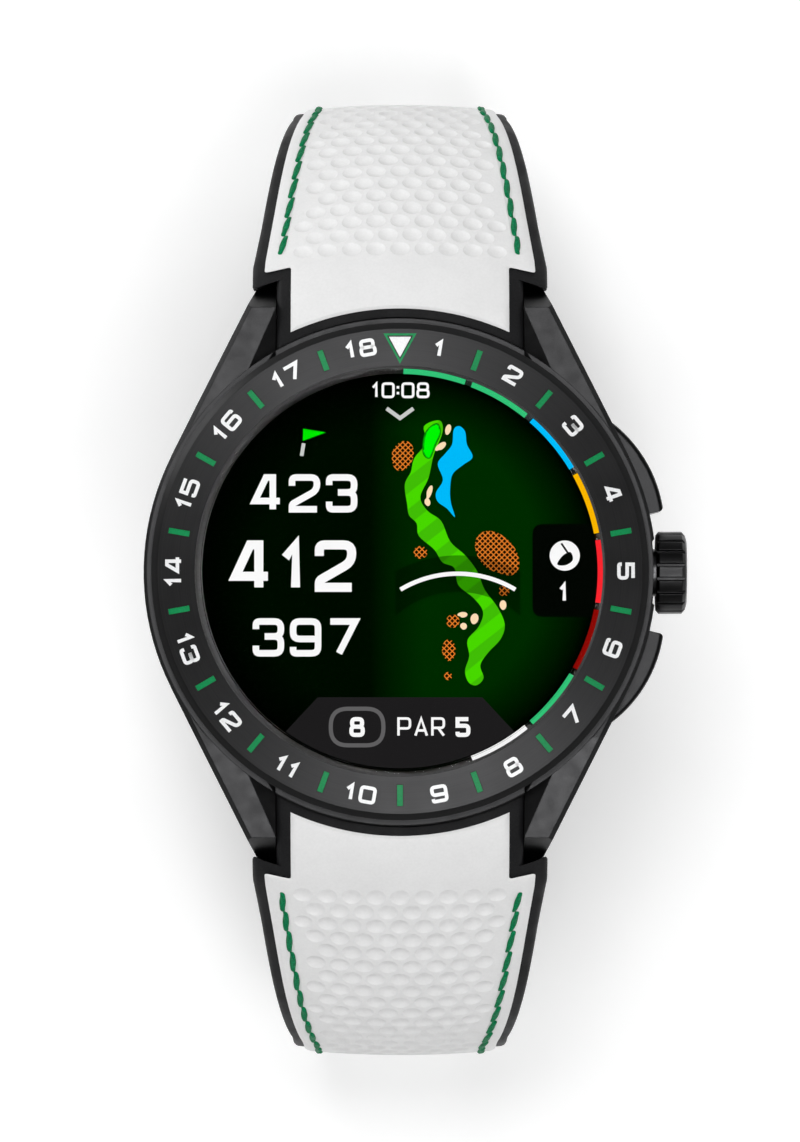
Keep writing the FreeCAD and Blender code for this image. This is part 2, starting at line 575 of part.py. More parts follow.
def crown():
    knob = new_body("crown_knob")
    revolve(knob, [
        ("crown_inner_x + crown_recess_depth", "0"), ("crown_outer_x", "0"),
        ("crown_outer_x", "crown_radius - 0.75"), ("crown_outer_x - 0.12", "crown_radius - 0.35"),
        ("crown_outer_x - 0.42", "crown_radius"), ("crown_inner_x + 0.25", "crown_radius"),
        ("crown_inner_x", "crown_radius - 0.3"), ("crown_inner_x", "crown_recess_radius"),
        ("crown_inner_x + crown_recess_depth", "crown_recess_radius")], axis="H_Axis")
    flute = new_sketch(knob, "YZ_Plane")
    polygon(flute, [("crown_radius + 0.2", "-flute_width"), ("crown_radius + 0.2", "flute_width"),
                    ("crown_radius - flute_depth", "flute_width * 0.5"),
                    ("crown_radius - flute_depth", "-flute_width * 0.5")])
    groove = extrude(knob, flute, "3 * case_radius", "Pocket", both_ways=True)
    pattern = knob.newObject("PartDesign::PolarPattern", "crown_flutes")
    pattern.Originals = [groove]
    pattern.Axis = (next(f for f in knob.Origin.OriginFeatures if f.Role == "X_Axis"), [""])
    pattern.Angle = 360
    pattern.Occurrences = int(size["flute_count"])
    knob.Tip = pattern
    keep("crown_knob", lift(knob, CROWN_HEIGHT))

    corners = [("stem_inner_x", "0"), ("crown_inner_x + crown_recess_depth", "0"),
               ("crown_inner_x + crown_recess_depth", "stem_radius")]
    for centre in ("21.4", "20.2"):
        corners += [(f"{centre} + 0.3", "stem_radius"), (f"{centre} + 0.3", "0.75"),
                    (f"{centre} - 0.3", "0.75"),
                    (f"{centre} - 0.3", "stem_radius")]
    corners += [("tube_inner_x", "stem_radius"), ("tube_inner_x", "0.6"),
                ("tube_inner_x - clip_thick - 0.15", "0.6"), ("tube_inner_x - clip_thick - 0.15", "0.9"),
                ("stem_inner_x", "0.9")]
    keep("crown_stem", turned("crown_stem", corners, "H_Axis", CROWN_HEIGHT))
    keep("crown_tube", turned("crown_tube", [
        ("tube_inner_x", "tube_bore"), ("tube_outer_x", "tube_bore"), ("tube_outer_x", "tube_radius"),
        ("tube_inner_x", "tube_radius")], "H_Axis", CROWN_HEIGHT))
    keep("crown_clip", turned("crown_clip", [
        ("tube_inner_x - clip_thick - 0.05", "0.68"), ("tube_inner_x - 0.05", "0.68"),
        ("tube_inner_x - 0.05", "1.75"), ("tube_inner_x - clip_thick - 0.05", "1.75")], "H_Axis",
                              CROWN_HEIGHT))
    seals = [ring(f"crown_seal_{i}", "1.02", "0.25", centre, along="x") for i,
             centre in enumerate(("21.4", "20.2"))]
    keep("crown_gaskets", lift(group("crown_gaskets", *seals), CROWN_HEIGHT))


def pusher(name, angle):
    """One pusher: cap, stem, seal and clip, modelled pointing along +X and turned to its place."""
    low = "crown_z - pusher_half_height"
    sector = rod(f"{name}_sector", "pusher_outer", "2 * pusher_half_height", z=low)
    sector.setExpression("Angle", bound("2 * pusher_half_span"))
    sector.Placement.Rotation = Rotation(Vector(0, 0, 1), -size["pusher_half_span"])
    core = rod(f"{name}_core", "pusher_inner", "2 * pusher_half_height", z=low)
    socket = rod(f"{name}_socket", "pusher_stem_radius", "1", "pusher_inner - 0.5", z="crown_z", along="x")
    toward_crown = -1 if angle > 0 else 1
    face_y = f"{toward_crown} * pusher_face_y"
    face = rod(f"{name}_face", "pusher_face_radius", "2 * pusher_half_height", "pusher_face_x", face_y, low)
    blank = cut(f"{name}_blank", common(f"{name}_form", sector, face), core, socket)
    doc.recompute()
    centre_x, centre_y = size["pusher_face_x"], toward_crown * size["pusher_face_y"]

    def outer_edge(edge):
        """Edges of the outward face, and the upright edges at its two ends."""
        return all(math.hypot(p.x - centre_x, p.y - centre_y) > size["pusher_face_radius"] - 0.01
                   for p in ends(edge))

    rounded = doc.addObject("Part::Fillet", f"{name}_rounded")
    rounded.Base = blank
    amount = size["pusher_rounding"]
    rounded.Edges = [(i, amount, amount) for i, edge in enumerate(blank.Shape.Edges,
                                                                  start=1) if outer_edge(edge)]
    keep(f"{name}_cap", spin(group(f"{name}_cap", rounded), angle))

    seal_x = "19.4"
    stem = new_body(f"{name}_stem")
    revolve(stem, [
        ("pusher_stem_inner", "0"), ("pusher_inner + 0.5", "0"),
        ("pusher_inner + 0.5", "pusher_stem_radius"),
        (f"{seal_x} + 0.3", "pusher_stem_radius"), (f"{seal_x} + 0.3", "0.45"), (f"{seal_x} - 0.3", "0.45"),
        (f"{seal_x} - 0.3", "pusher_stem_radius"), ("cavity_radius - 0.1", "pusher_stem_radius"),
        ("cavity_radius - 0.1", "0.4"), ("cavity_radius - 0.6", "0.4"), ("cavity_radius - 0.6", "0.7"),
        ("pusher_stem_inner", "0.7")], "H_Axis")
    lift(stem, "crown_z")
    keep(f"{name}_stem", spin(group(f"{name}_stem", stem), angle))
    seal = ring(f"{name}_seal", "0.65", "0.18", seal_x, z="crown_z", along="x")
    keep(f"{name}_gasket", spin(group(f"{name}_gasket", seal), angle))
    clip = new_body(f"{name}_clip_ring")
    revolve(clip, [("cavity_radius - 0.53", "0.48"), ("cavity_radius - 0.18", "0.48"),
                   ("cavity_radius - 0.18", "1.3"), ("cavity_radius - 0.53", "1.3")], "H_Axis")
    lift(clip, "crown_z")
    keep(f"{name}_clip", spin(group(f"{name}_clip", clip), angle))


# ---- strap ---------------------------------------------------------------------------------------

def strap_turns():
    """The outer face of one strap half in the YZ plane: tangent arcs as (radius, start slope, end slope).

    Slopes are in degrees below the horizontal. The last three radii are worked out so that the strap is widest
    at strap_reach_y and comes to lie flat at strap_end_y and strap_low_z."""
    s = size
    slope = [math.radians(s["strap_turn_" + n]) for n in ("start", "lug", "wrist", "side", "under", "flat")]
    sines = [math.sin(a) for a in slope]
    cosines = [math.cos(a) for a in slope]
    radii = [s["strap_lug_radius"], s["strap_wrist_radius"]]
    used = sum(r * (sines[i + 1] - sines[i]) for i, r in enumerate(radii))
    radii.append((s["strap_reach_y"] - s["strap_start_y"] - used) / (sines[3] - sines[2]))
    fall = sum(r * (cosines[i] - cosines[i + 1]) for i, r in enumerate(radii))
    back = s["strap_reach_y"] - s["strap_end_y"]
    down = s["head_lift"] + s["strap_start_z"] - fall - s["strap_low_z"]
    a, b = 1 - sines[4], sines[4]
    c, d = -cosines[4], 1 + cosines[4]
    radii += [(back * d - down * b) / (a * d - b * c), (down * a - back * c) / (a * d - b * c)]
    return list(zip(radii, slope, slope[1:]))


def strap_line(depth, first=0, last=5, tail=0.0):
    """Edges of the curve at one depth inside the outer face, through arcs first to last, then a tail."""
    s = size
    turns = strap_turns()
    y, z = s["strap_start_y"], s["head_lift"] + s["strap_start_z"]
    edges = []
    for index, (radius, a, b) in enumerate(turns):
        centre = Vector(0, y - radius * math.sin(a), z - radius * math.cos(a))

        def at(angle):
            return centre + Vector(0, math.sin(angle), math.cos(angle)) * (radius - depth)

        if first <= index < last:
            edges.append(Part.Arc(at(a), at((a + b) / 2), at(b)).toShape())
        y += radius * (math.sin(b) - math.sin(a))
        z -= radius * (math.cos(a) - math.cos(b))
    if tail:
        end = edges[-1].Vertexes[-1].Point
        edges.append(Part.makeLine(end, end - Vector(0, tail, 0)))
    return edges


def strap_slab(top, bottom, first=0, last=5, tail=0.0, half_width=20.0):
    """The band of the strap between two depths, straight-sided."""
    outer = strap_line(top, first, last, tail)
    inner = strap_line(bottom, first, last, tail)
    start = Part.makeLine(outer[0].Vertexes[0].Point, inner[0].Vertexes[0].Point)
    end = Part.makeLine(outer[-1].Vertexes[-1].Point, inner[-1].Vertexes[-1].Point)
    wire = Part.Wire(Part.__sortEdges__([*outer, end, *inner, start]))
    face = Part.Face(wire)
    face.translate(Vector(-half_width, 0, 0))
    return face.extrude(Vector(2 * half_width, 0, 0))


def strap_width(inset):
    """The tapering side walls of the strap, seen along Y, drawn in by an inset."""
    s = size
    half = [(s["strap_half_shoulder"], s["case_top"] + 5),
            (s["strap_half_shoulder"], s["strap_shoulder_z"]),
            (s["strap_half_side"], s["strap_side_z"]), (s["strap_half_end"], -s["head_lift"] - 5)]
    right = [Vector(x - inset, -5, z + s["head_lift"]) for x, z in half]
    left = [Vector(-p.x, p.y, p.z) for p in reversed(right)]
    return Part.Face(Part.makePolygon([*right, *left, right[0]])).extrude(Vector(0, 60, 0))


def strap_end_block():
    """The thick end of the strap that fills the space between the lugs."""
    s = size
    up = s["head_lift"]
    slope = math.tan(math.radians(s["strap_turn_start"]))
    start = Vector(0, s["strap_start_y"], up + s["strap_start_z"])
    inner_y = s["waist_radius"] - 5
    outer_top = strap_line(0, 0, 1)[0]
    last = outer_top.Vertexes[-1].Point
    inner = strap_line(s["strap_thick"], 1, 2)[0]
    joint = inner.valueAt((inner.FirstParameter + inner.LastParameter) / 2)
    corners = [last, joint, Vector(0, s["lug_tip_inner_y"] + 0.5, up + 0.6), Vector(0, inner_y, up + 0.6),
               Vector(0, inner_y, start.z + (start.y - inner_y) * slope), start]
    lines = [Part.makeLine(a, b) for a, b in zip(corners, corners[1:])]
    face = Part.Face(Part.Wire(Part.__sortEdges__([outer_top, *lines])))
    face.translate(Vector(-20, 0, 0))
    block = face.extrude(Vector(40, 0, 0))
    lip = Part.makeCylinder(s["strap_lip_radius"], 5, Vector(0, 0, up + s["strap_lip_z"]))
    wall = Part.makeCylinder(s["strap_fit_radius"], 40, Vector(0, 0, up - 20))
    return block.cut(lip).cut(wall)


def strap_between_lugs(shape):
    """Trims the sides of the strap end so that it passes between the lugs."""
    s = size
    for x in (s["strap_half_gap"], -s["strap_half_gap"] - 10):
        shape = shape.cut(Part.makeBox(10, s["strap_clear_y"], 30, Vector(x, 0, s["head_lift"] - 5)))
    return shape


def pad_layer():
    """The white covering: the outer skin of the strap, inside a border of the black base."""
    s = size
    whole = strap_slab(0, s["pad_thick"], 1, 5).fuse(strap_end_block().common(cap_of_block()))
    whole = whole.common(strap_width(s["pad_border"]))
    whole = whole.cut(Part.makeCylinder(s["strap_lip_radius"] + 0.9, 20, Vector(0, 0, s["head_lift"] - 1)))
    x = s["strap_half_gap"] - s["pad_border"]
    for corner in (x, -x - 10):
        border = Part.makeBox(10, s["strap_clear_y"] + s["pad_border"], 30,
                              Vector(corner, 0, s["head_lift"] - 12))
        whole = whole.cut(border)
    return whole.cut(Part.makeBox(40, s["strap_end_y"] + 4.5, 20, Vector(-20, 0, -5)))


def cap_of_block():
    """The pad's share of the strap end: a skin under the first arc and the level stretch before it."""
    s = size
    slope = math.tan(math.radians(s["strap_turn_start"]))
    outer = strap_line(0, 0, 1)[0]
    inner = strap_line(s["pad_thick"], 0, 1)[0]
    inner_y = s["waist_radius"] - 5
    start, low_start = outer.Vertexes[0].Point, inner.Vertexes[0].Point
    corners = [start, Vector(0, inner_y, start.z + (start.y - inner_y) * slope),
               Vector(0, inner_y, low_start.z + (low_start.y - inner_y) * slope), low_start]
    lines = [Part.makeLine(a, b) for a, b in zip(corners, corners[1:])]
    end = Part.makeLine(outer.Vertexes[-1].Point, inner.Vertexes[-1].Point)
    face = Part.Face(Part.Wire(Part.__sortEdges__([outer, *lines, inner, end])))
    face.translate(Vector(-20, 0, 0))
    return face.extrude(Vector(40, 0, 0))


def strap_half(finish_end, tail):
    """Base and pad of one strap half on the +Y side, each as one solid."""
    s = size
    base = strap_slab(0, s["strap_thick"], 0, 5, tail).fuse(strap_end_block())
    base = strap_between_lugs(base.common(strap_width(0)))
    half = s["strap_half_shoulder"]
    bar = Part.makeCylinder(s["bar_radius"], 2 * half,
                            Vector(-half, s["bar_y"], s["head_lift"] + s["bar_z"]),
                            Vector(1, 0, 0))
    pad = pad_layer()
    return finish_end(base).cut(bar).cut(pad).removeSplitter(), pad.removeSplitter()


def upper_end(base):
    """A rounded eye round the clasp's end bar, notched in the middle for the blade's hook."""
    s = size
    middle = s["strap_low_z"] + s["eye_radius"]
    width = 2 * s["strap_half_end"]
    corner = Vector(-width / 2, s["strap_end_y"], middle)
    eye = Part.makeCylinder(s["eye_radius"], width, corner, Vector(1, 0, 0))
    hole = Part.makeCylinder(s["end_bar_radius"], width, corner, Vector(1, 0, 0))
    notch = Part.makeBox(2 * s["notch_half"], 5.5, 10, Vector(-s["notch_half"], s["strap_end_y"] - 2.5, -1))
    return base.fuse(eye).cut(hole).cut(notch)


def lower_end(base):
    """The tail inside the clasp cover, with its row of peg holes."""
    for i in range(3):
        base = base.cut(Part.makeCylinder(size["peg_radius"], 10, Vector(0, size["peg_y"] + 5.0 * i, -1)))
    return base


def strap():
    """Each half is divided where it is widest into a root on the case and a tail that bends outwards."""
    s = size
    bend_z = strap_line(0, 2, 3)[0].Vertexes[-1].Point.z
    gap = s["strap_bend_gap"] / 2
    above = Part.makeBox(60, 60, 60, Vector(-30, 0, bend_z + gap))
    below = Part.makeBox(60, 100, 60, Vector(-30, -40, bend_z - gap - 60))
    half_turn = Placement(Vector(), Rotation(Vector(0, 0, 1), 180))
    tail = s["strap_end_y"] + s["strap_tail_y"]
    for name, finish_end, length, place in (("upper", upper_end, 0.0, Placement()),
                                            ("lower", lower_end, tail, half_turn)):
        base, pad = strap_half(finish_end, length)
        for layer, shape in (("base", base), ("pad", pad)):
            for span, room in (("root", above), ("tail", below)):
                label = f"strap_{name}_{span}_{layer}"
                made = feature(label, shape.common(room))
                made.Placement = place
                keep(label, made)


def spring_bars():
    """A tube across each strap end, with two sprung tips that reach into the lugs."""
    for name, side in (("upper", ""), ("lower", "-")):
        y, z = f"{side}bar_y", "head_lift + bar_z"
        tube = rod(f"{name}_bar_tube", "bar_radius", "2 * bar_half", "-bar_half", y, z, "x")
        bore = rod(f"{name}_bar_bore", "bar_bore", "2 * bar_half", "-bar_half", y, z, "x")
        keep(f"spring_bar_{name}", cut(f"spring_bar_{name}", tube, bore))
        for end, start in (("left", "-bar_tip_out"), ("right", "bar_tip_in")):
            label = f"bar_tip_{name}_{end}"
            keep(label, group(label, rod(f"{label}_pin", "bar_tip_radius", "bar_tip_out - bar_tip_in",
                                         start, y, z,
                                         "x")))


# ---- clasp ---------------------------------------------------------------------------------------

def clasp_cover():
    """The clasp's outer tray: a floor, two side walls with button windows, and holes for the fold pin."""
    made = new_body("clasp_cover_blank")
    rectangle(new_sketch(made, "XY_Plane"), "-cover_half_width", "cover_half_width", "-cover_back_y",
              "cover_front_y")
    extrude(made, made.Group[-1], "cover_height")
    dress(made, "Fillet", "1.6", lambda edge: abs(ends(edge)[0].z - ends(edge)[-1].z) > 1)
    dress(made, "Chamfer", "0.6", lambda edge: max(p.z for p in ends(edge)) < 0.01)
    inner = "cover_half_width - cover_wall"
    trough = new_sketch(made, "XZ_Plane")
    rectangle(trough, f"-({inner})", inner, "cover_floor", "cover_height + 1")
    extrude(made, trough, "4 * cover_back_y", "Pocket", both_ways=True)
    windows = new_sketch(made, "YZ_Plane")
    rectangle(windows, "button_y - button_half_length - 0.1", "button_y + button_half_length + 0.1",
              "button_low - 0.1", "button_high + 0.1")
    extrude(made, windows, "4 * cover_half_width", "Pocket", both_ways=True)
    holes = circle(new_sketch(made, "YZ_Plane"), "pin_radius", "fold_y", "fold_z")
    extrude(made, holes, "4 * cover_half_width", "Pocket", both_ways=True)
    keep("clasp_cover", made)
    keep("strap_peg", group("strap_peg", rod("peg_post", "peg_radius - 0.05", "strap_thick - 0.2", "0",
                                             "-peg_y",
                                             "cover_floor")))


def clasp_blades():
    """Two folding blades: the inner one turns on the cover; the outer one, on the inner, hooks the end bar."""
    plate_low = "fold_z + 0.05"
    plate = box("inner_plate", "-blade_half", "-(knee_y - 0.3)", plate_low, "2 * blade_half",
                "knee_y - 0.3 + fold_y",
                "blade_thick")
    slot = box("inner_slot", "-(leg_x + 1.6)", "button_y - 2.8", "0", "2 * leg_x + 3.2", "5.4", "10")
    fold_end = rod("inner_fold_end", "knuckle_radius", "2 * blade_half", "-blade_half", "fold_y", "fold_z",
                   "x")
    knee_mid = rod("inner_knee", "knuckle_radius", "8", "-4", "-knee_y", "knee_z", "x")
    knee_room = [rod(f"inner_knee_room_{i}", "knuckle_radius + blade_gap", "blade_half", x, "-knee_y",
                     "knee_z", "x")
                 for i, x in enumerate(("-4 - blade_half", "4"))]
    body = fuse("inner_body", cut("inner_open", plate, slot, *knee_room), fold_end, knee_mid)
    fold_hole = rod("inner_fold_hole", "pin_radius + 0.05", "30", "-15", "fold_y", "fold_z", "x")
    knee_hole = rod("inner_knee_hole", "pin_radius", "30", "-15", "-knee_y", "knee_z", "x")
    keep("clasp_blade_inner", cut("clasp_blade_inner", body, fold_hole, knee_hole))
    keep("clasp_fold_pin", group("clasp_fold_pin",
                                 rod("fold_pin_rod", "pin_radius", "2 * cover_half_width - 0.2",
                                                       "-(cover_half_width - 0.1)", "fold_y", "fold_z",
                                     "x")))
    keep("clasp_knee_pin", group("clasp_knee_pin", rod("knee_pin_rod", "pin_radius", "2 * blade_half",
                                                       "-blade_half", "-knee_y", "knee_z", "x")))

    low = "fold_z + 0.05 + blade_thick + blade_gap"
    middle = "strap_low_z + eye_radius"
    plate = box("outer_plate", "-blade_half", "-knee_y", low, "2 * blade_half", "knee_y + fold_y + 1.6",
                "blade_thick")
    tongue = box("outer_tongue", "-hook_half", "fold_y", low, "2 * hook_half", "strap_end_y - fold_y + 1.3",
                 "blade_thick")
    hook = rod("outer_hook_round", "hook_radius", "2 * hook_half", "-hook_half", "strap_end_y", middle, "x")
    neck = box("outer_hook_neck", "-hook_half", "strap_end_y - hook_radius", middle, "2 * hook_half",
               "2 * hook_radius", f"{low} - ({middle})")
    mouth = box("outer_hook_mouth", "-10", "strap_end_y - 3", "-2", "20", "3", f"1.85 + {middle}")
    lip_room = box("outer_hook_lip_room", "-10", "strap_end_y", "-2", "20", "3", f"2.5 + {middle}")
    saddle = rod("outer_hook_saddle", "end_bar_radius + 0.1", "30", "-15", "strap_end_y", middle, "x")
    knee_room = rod("outer_knee_room", "knuckle_radius + blade_gap", "8.2", "-4.1", "-knee_y", "knee_z",
                    "x")
    flat = fuse("outer_flat", plate, tongue, hook, neck)
    legs = []
    for i, (leg, toe) in enumerate((("-(leg_x + 1)", "-leg_x"), ("leg_x", "leg_x - 0.6"))):
        legs.append(box(f"outer_leg_{i}", leg, "button_y - 0.7", "1.4", "1", "2", f"{low} - 1.4"))
        legs.append(box(f"outer_toe_{i}", toe, "button_y - 0.7", "1.4", "0.6", "2", "0.7"))
    knuckles = [rod(f"outer_knee_{i}", "knuckle_radius", "blade_half - 4.1", x, "-knee_y", "knee_z", "x")
                for i, x in enumerate(("-blade_half", "4.1"))]
    body = fuse("outer_body", cut("outer_open", flat, knee_room, mouth, lip_room, saddle), *knuckles, *legs)
    knee_hole = rod("outer_knee_hole", "pin_radius + 0.05", "30", "-15", "-knee_y", "knee_z", "x")
    keep("clasp_blade_outer", cut("clasp_blade_outer", body, knee_hole))
    keep("clasp_end_bar", group("clasp_end_bar", rod("end_bar_rod", "end_bar_radius",
                                                     "2 * strap_half_end - 0.8",
                                                     "-(strap_half_end - 0.4)", "strap_end_y", middle,
                                                     "x")))


def clasp_buttons():
    """Two push buttons in the side walls of the cover. Each has an arm that reaches past a leg of the outer
    blade and a catch that stands over the leg's toe from the inside, so that pressing it in lets the leg go."""
    for name, sign in (("left", "-1 * "), ("right", "")):
        label = f"clasp_button_{name}"
        made = new_body(label)

        def block(x_low, x_high, y_low, y_high, z_low, height):
            plan = new_sketch(made, "XY_Plane", z_low)
            rectangle(plan, f"{sign}({x_low})", f"{sign}({x_high})", y_low, y_high)
            return extrude(made, plan, height)

        block("cover_half_width - cover_wall - 0.6", "cover_half_width + button_proud",
              "button_y - button_half_length", "button_y + button_half_length", "button_low",
              "button_high - button_low")
        limit = size["cover_half_width"] + size["button_proud"] - 0.01
        dress(made, "Fillet", "0.45", lambda edge: all(abs(p.x) > limit for p in ends(edge)))
        block("leg_x - 2", "cover_half_width - cover_wall", "button_y - 2.2", "button_y - 1", "button_low",
              "1.4")
        block("leg_x - 2", "leg_x - 1.2", "button_y - 2.2", "button_y + 1.3", "button_low", "1.4")
        block("leg_x - 1.3", "leg_x - 0.7", "button_y - 0.6", "button_y + 1.3", "button_low + 0.7", "0.7")
        keep(label, made)


# ---- build ---------------------------------------------------------------------------------------

def check_and_export():
    doc.recompute()
    bad = [o.Label for o in doc.Objects if any(flag in o.State for flag in ("Invalid", "Error"))]
    if bad:
        raise SystemExit(f"failed features: {bad}")
    os.makedirs("parts", exist_ok=True)
    for old in os.listdir("parts"):
        os.remove(os.path.join("parts", old))
    for label, piece in nodes.items():
        shape = piece.Shape
        if shape.isNull() or not shape.isValid() or not shape.Solids:
            raise SystemExit(f"{label} is not a valid solid")
        shape.exportStep(os.path.join("parts", label + ".step"))
        print(f"{label}: {len(shape.Solids)} solids, {shape.Volume:.2f} mm3")


case_middle()
bezel()
crystal_and_display()
inner_pieces()
case_back()
crown()
pusher("pusher_upper", size["pusher_angle"])
pusher("pusher_lower", -size["pusher_angle"])
strap()
spring_bars()
clasp_cover()
clasp_blades()
clasp_buttons()
check_and_export()
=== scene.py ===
"""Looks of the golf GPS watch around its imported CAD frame.

Made here: the two strap halves (black rubber base, white leather with dimples, green stitching), numerals on
the bezel and the picture on the display. Every CAD node that stays gets its own finish. Lengths are in
millimetres in the CAD frame (+Z out of the dial, +Y to 12 o'clock) and become metres in the meshes."""
import math

import bmesh
import bpy
import numpy as np
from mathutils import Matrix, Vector
from mathutils.geometry import delaunay_2d_cdt


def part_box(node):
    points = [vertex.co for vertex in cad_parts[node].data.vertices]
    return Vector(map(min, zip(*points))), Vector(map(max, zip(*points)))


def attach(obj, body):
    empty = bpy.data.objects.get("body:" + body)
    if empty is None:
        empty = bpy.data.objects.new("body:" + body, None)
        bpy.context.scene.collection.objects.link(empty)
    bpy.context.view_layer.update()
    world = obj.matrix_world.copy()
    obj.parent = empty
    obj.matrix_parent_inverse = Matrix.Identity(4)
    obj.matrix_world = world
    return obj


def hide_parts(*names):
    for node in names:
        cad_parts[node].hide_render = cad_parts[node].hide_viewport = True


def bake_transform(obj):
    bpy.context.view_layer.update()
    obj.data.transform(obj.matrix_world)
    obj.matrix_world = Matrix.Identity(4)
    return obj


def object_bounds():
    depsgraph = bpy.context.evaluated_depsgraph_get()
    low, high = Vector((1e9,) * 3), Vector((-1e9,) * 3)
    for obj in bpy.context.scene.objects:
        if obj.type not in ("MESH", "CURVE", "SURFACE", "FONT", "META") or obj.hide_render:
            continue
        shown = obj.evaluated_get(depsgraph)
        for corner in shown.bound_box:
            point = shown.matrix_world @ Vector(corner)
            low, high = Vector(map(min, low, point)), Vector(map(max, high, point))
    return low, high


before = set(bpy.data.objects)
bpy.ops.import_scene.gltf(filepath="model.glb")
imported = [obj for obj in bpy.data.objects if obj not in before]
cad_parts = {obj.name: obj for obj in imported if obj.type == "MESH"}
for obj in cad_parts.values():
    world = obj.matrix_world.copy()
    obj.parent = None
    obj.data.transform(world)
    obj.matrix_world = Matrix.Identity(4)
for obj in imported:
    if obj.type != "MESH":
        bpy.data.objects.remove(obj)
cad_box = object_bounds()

MM = 0.001


def edge_of(node, side, axis):
    """One bound of a CAD node in millimetres: side 0 is lowest and 1 highest, axis 0 to 2 is x to z."""
    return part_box(node)[side][axis] / MM


# ---- places taken from the frame ----

HEAD = edge_of("case_middle", 0, 2)
BEZEL_INNER_Z = edge_of("bezel_ring", 1, 2)
CRYSTAL_RADIUS = edge_of("crystal", 1, 0)
DISPLAY_TOP = edge_of("display_panel", 1, 2)
DISPLAY_RADIUS = edge_of("display_panel", 1, 0)
STRAP_REACH = edge_of("strap_upper_tail_base", 1, 1)
STRAP_LOW = edge_of("strap_upper_tail_base", 0, 2)
STRAP_END = (edge_of("clasp_end_bar", 0, 1) + edge_of("clasp_end_bar", 1, 1)) / 2
BAR_Z = (edge_of("clasp_end_bar", 0, 2) + edge_of("clasp_end_bar", 1, 2)) / 2
TAIL_REACH = edge_of("strap_lower_tail_base", 1, 1)


# ---- meshes ----

class Solid:
    """Collects closed shells in millimetres and turns them into one object."""

    def __init__(self):
        self.points = []
        self.faces = []

    def add(self, points, faces):
        first = len(self.points)
        self.points.extend(points)
        self.faces.extend([first + i for i in face] for face in faces)

    def piece(self, name, finish, slot, sharp=30.0):
        mesh = bpy.data.meshes.new(name)
        mesh.from_pydata([(x * MM, y * MM, z * MM) for x, y, z in self.points], [], self.faces)
        work = bmesh.new()
        work.from_mesh(mesh)
        bmesh.ops.recalc_face_normals(work, faces=work.faces)
        work.to_mesh(mesh)
        work.free()
        mesh.polygons.foreach_set("use_smooth", [True] * len(mesh.polygons))
        mesh.set_sharp_from_angle(angle=math.radians(sharp))
        mesh.materials.append(finish)
        made = bpy.data.objects.new(name, mesh)
        bpy.context.scene.collection.objects.link(made)
        return made


def plate(outline, low, high):
    """A flat plate between two levels: points (x, y, level) and faces."""
    count = len(outline)
    points = [(x, y, low) for x, y in outline] + [(x, y, high) for x, y in outline]
    faces = [list(range(count))[::-1], list(range(count, 2 * count))]
    faces += [[i, (i + 1) % count, count + (i + 1) % count, count + i] for i in range(count)]
    return points, faces


def ribbon(line, width, low, high, closed=False):
    """A flat band of one width that follows a line, mitred at its corners."""
    count = len(line)
    pts = [np.array(p[:2], float) for p in line]
    sides = []
    for i, here in enumerate(pts):
        before = here - pts[i - 1] if closed or i > 0 else pts[1] - here
        after = pts[(i + 1) % count] - here if closed or i < count - 1 else here - pts[i - 1]
        before, after = (v / max(np.hypot(*v), 1e-9) for v in (before, after))
        across = np.array([-before[1] - after[1], before[0] + after[0]])
        across /= max(np.hypot(*across), 1e-9)
        reach = width / 2 / max(abs(across @ np.array([-before[1], before[0]])), 0.45)
        sides.append((here + across * reach, here - across * reach))
    points = []
    for level in (low, high):
        for left, right in sides:
            points += [(left[0], left[1], level), (right[0], right[1], level)]
    up = 2 * count
    faces = []
    for i in range(count if closed else count - 1):
        a, b = 2 * i, 2 * ((i + 1) % count)
        faces += [[a, b, b + 1, a + 1], [up + a + 1, up + b + 1, up + b, up + a],
                  [a, up + a, up + b, b], [a + 1, b + 1, up + b + 1, up + a + 1]]
    if not closed:
        last = 2 * count - 2
        faces += [[0, 1, up + 1, up], [last + 1, last, up + last, up + last + 1]]
    return points, faces


def arc_points(centre, radius, start, end, steps):
    """Points along an arc; angles in degrees, clockwise from 12 o'clock."""
    turns = [math.radians(start + (end - start) * i / steps) for i in range(steps + 1)]
    return [(centre[0] + radius * math.sin(t), centre[1] + radius * math.cos(t)) for t in turns]


def flowing(points, steps=6):
    """A smooth closed outline through a few points."""
    pts = [np.array(p, float) for p in points]
    count = len(pts)
    line = []
    for i in range(count):
        a, b, c, d = (pts[(i + k) % count] for k in (-1, 0, 1, 2))
        for j in range(steps):
            t = j / steps
            line.append(tuple(0.5 * (2 * b + (c - a) * t + (2 * a - 5 * b + 4 * c - d) * t ** 2
                                     + (3 * b - a - 3 * c + d) * t ** 3)))
    return line


def rounded(line, radius, closed=False, steps=4):
    """The line with each corner that isn't marked sharp (a third value of 0) turned into a small curve."""
    count = len(line)
    made = []
    for i, point in enumerate(line):
        here = np.array(point[:2], float)
        if (len(point) > 2 and point[2] == 0) or (not closed and i in (0, count - 1)):
            made.append(tuple(here))
            continue
        before = np.array(line[i - 1][:2], float) - here
        after = np.array(line[(i + 1) % count][:2], float) - here
        cut = min(radius, np.hypot(*before) * 0.48, np.hypot(*after) * 0.48)
        a = here + before / np.hypot(*before) * cut
        b = here + after / np.hypot(*after) * cut
        for j in range(steps + 1):
            t = j / steps
            made.append(tuple(a * (1 - t) ** 2 + here * 2 * t * (1 - t) + b * t ** 2))
    return made


# ---- lettering ----

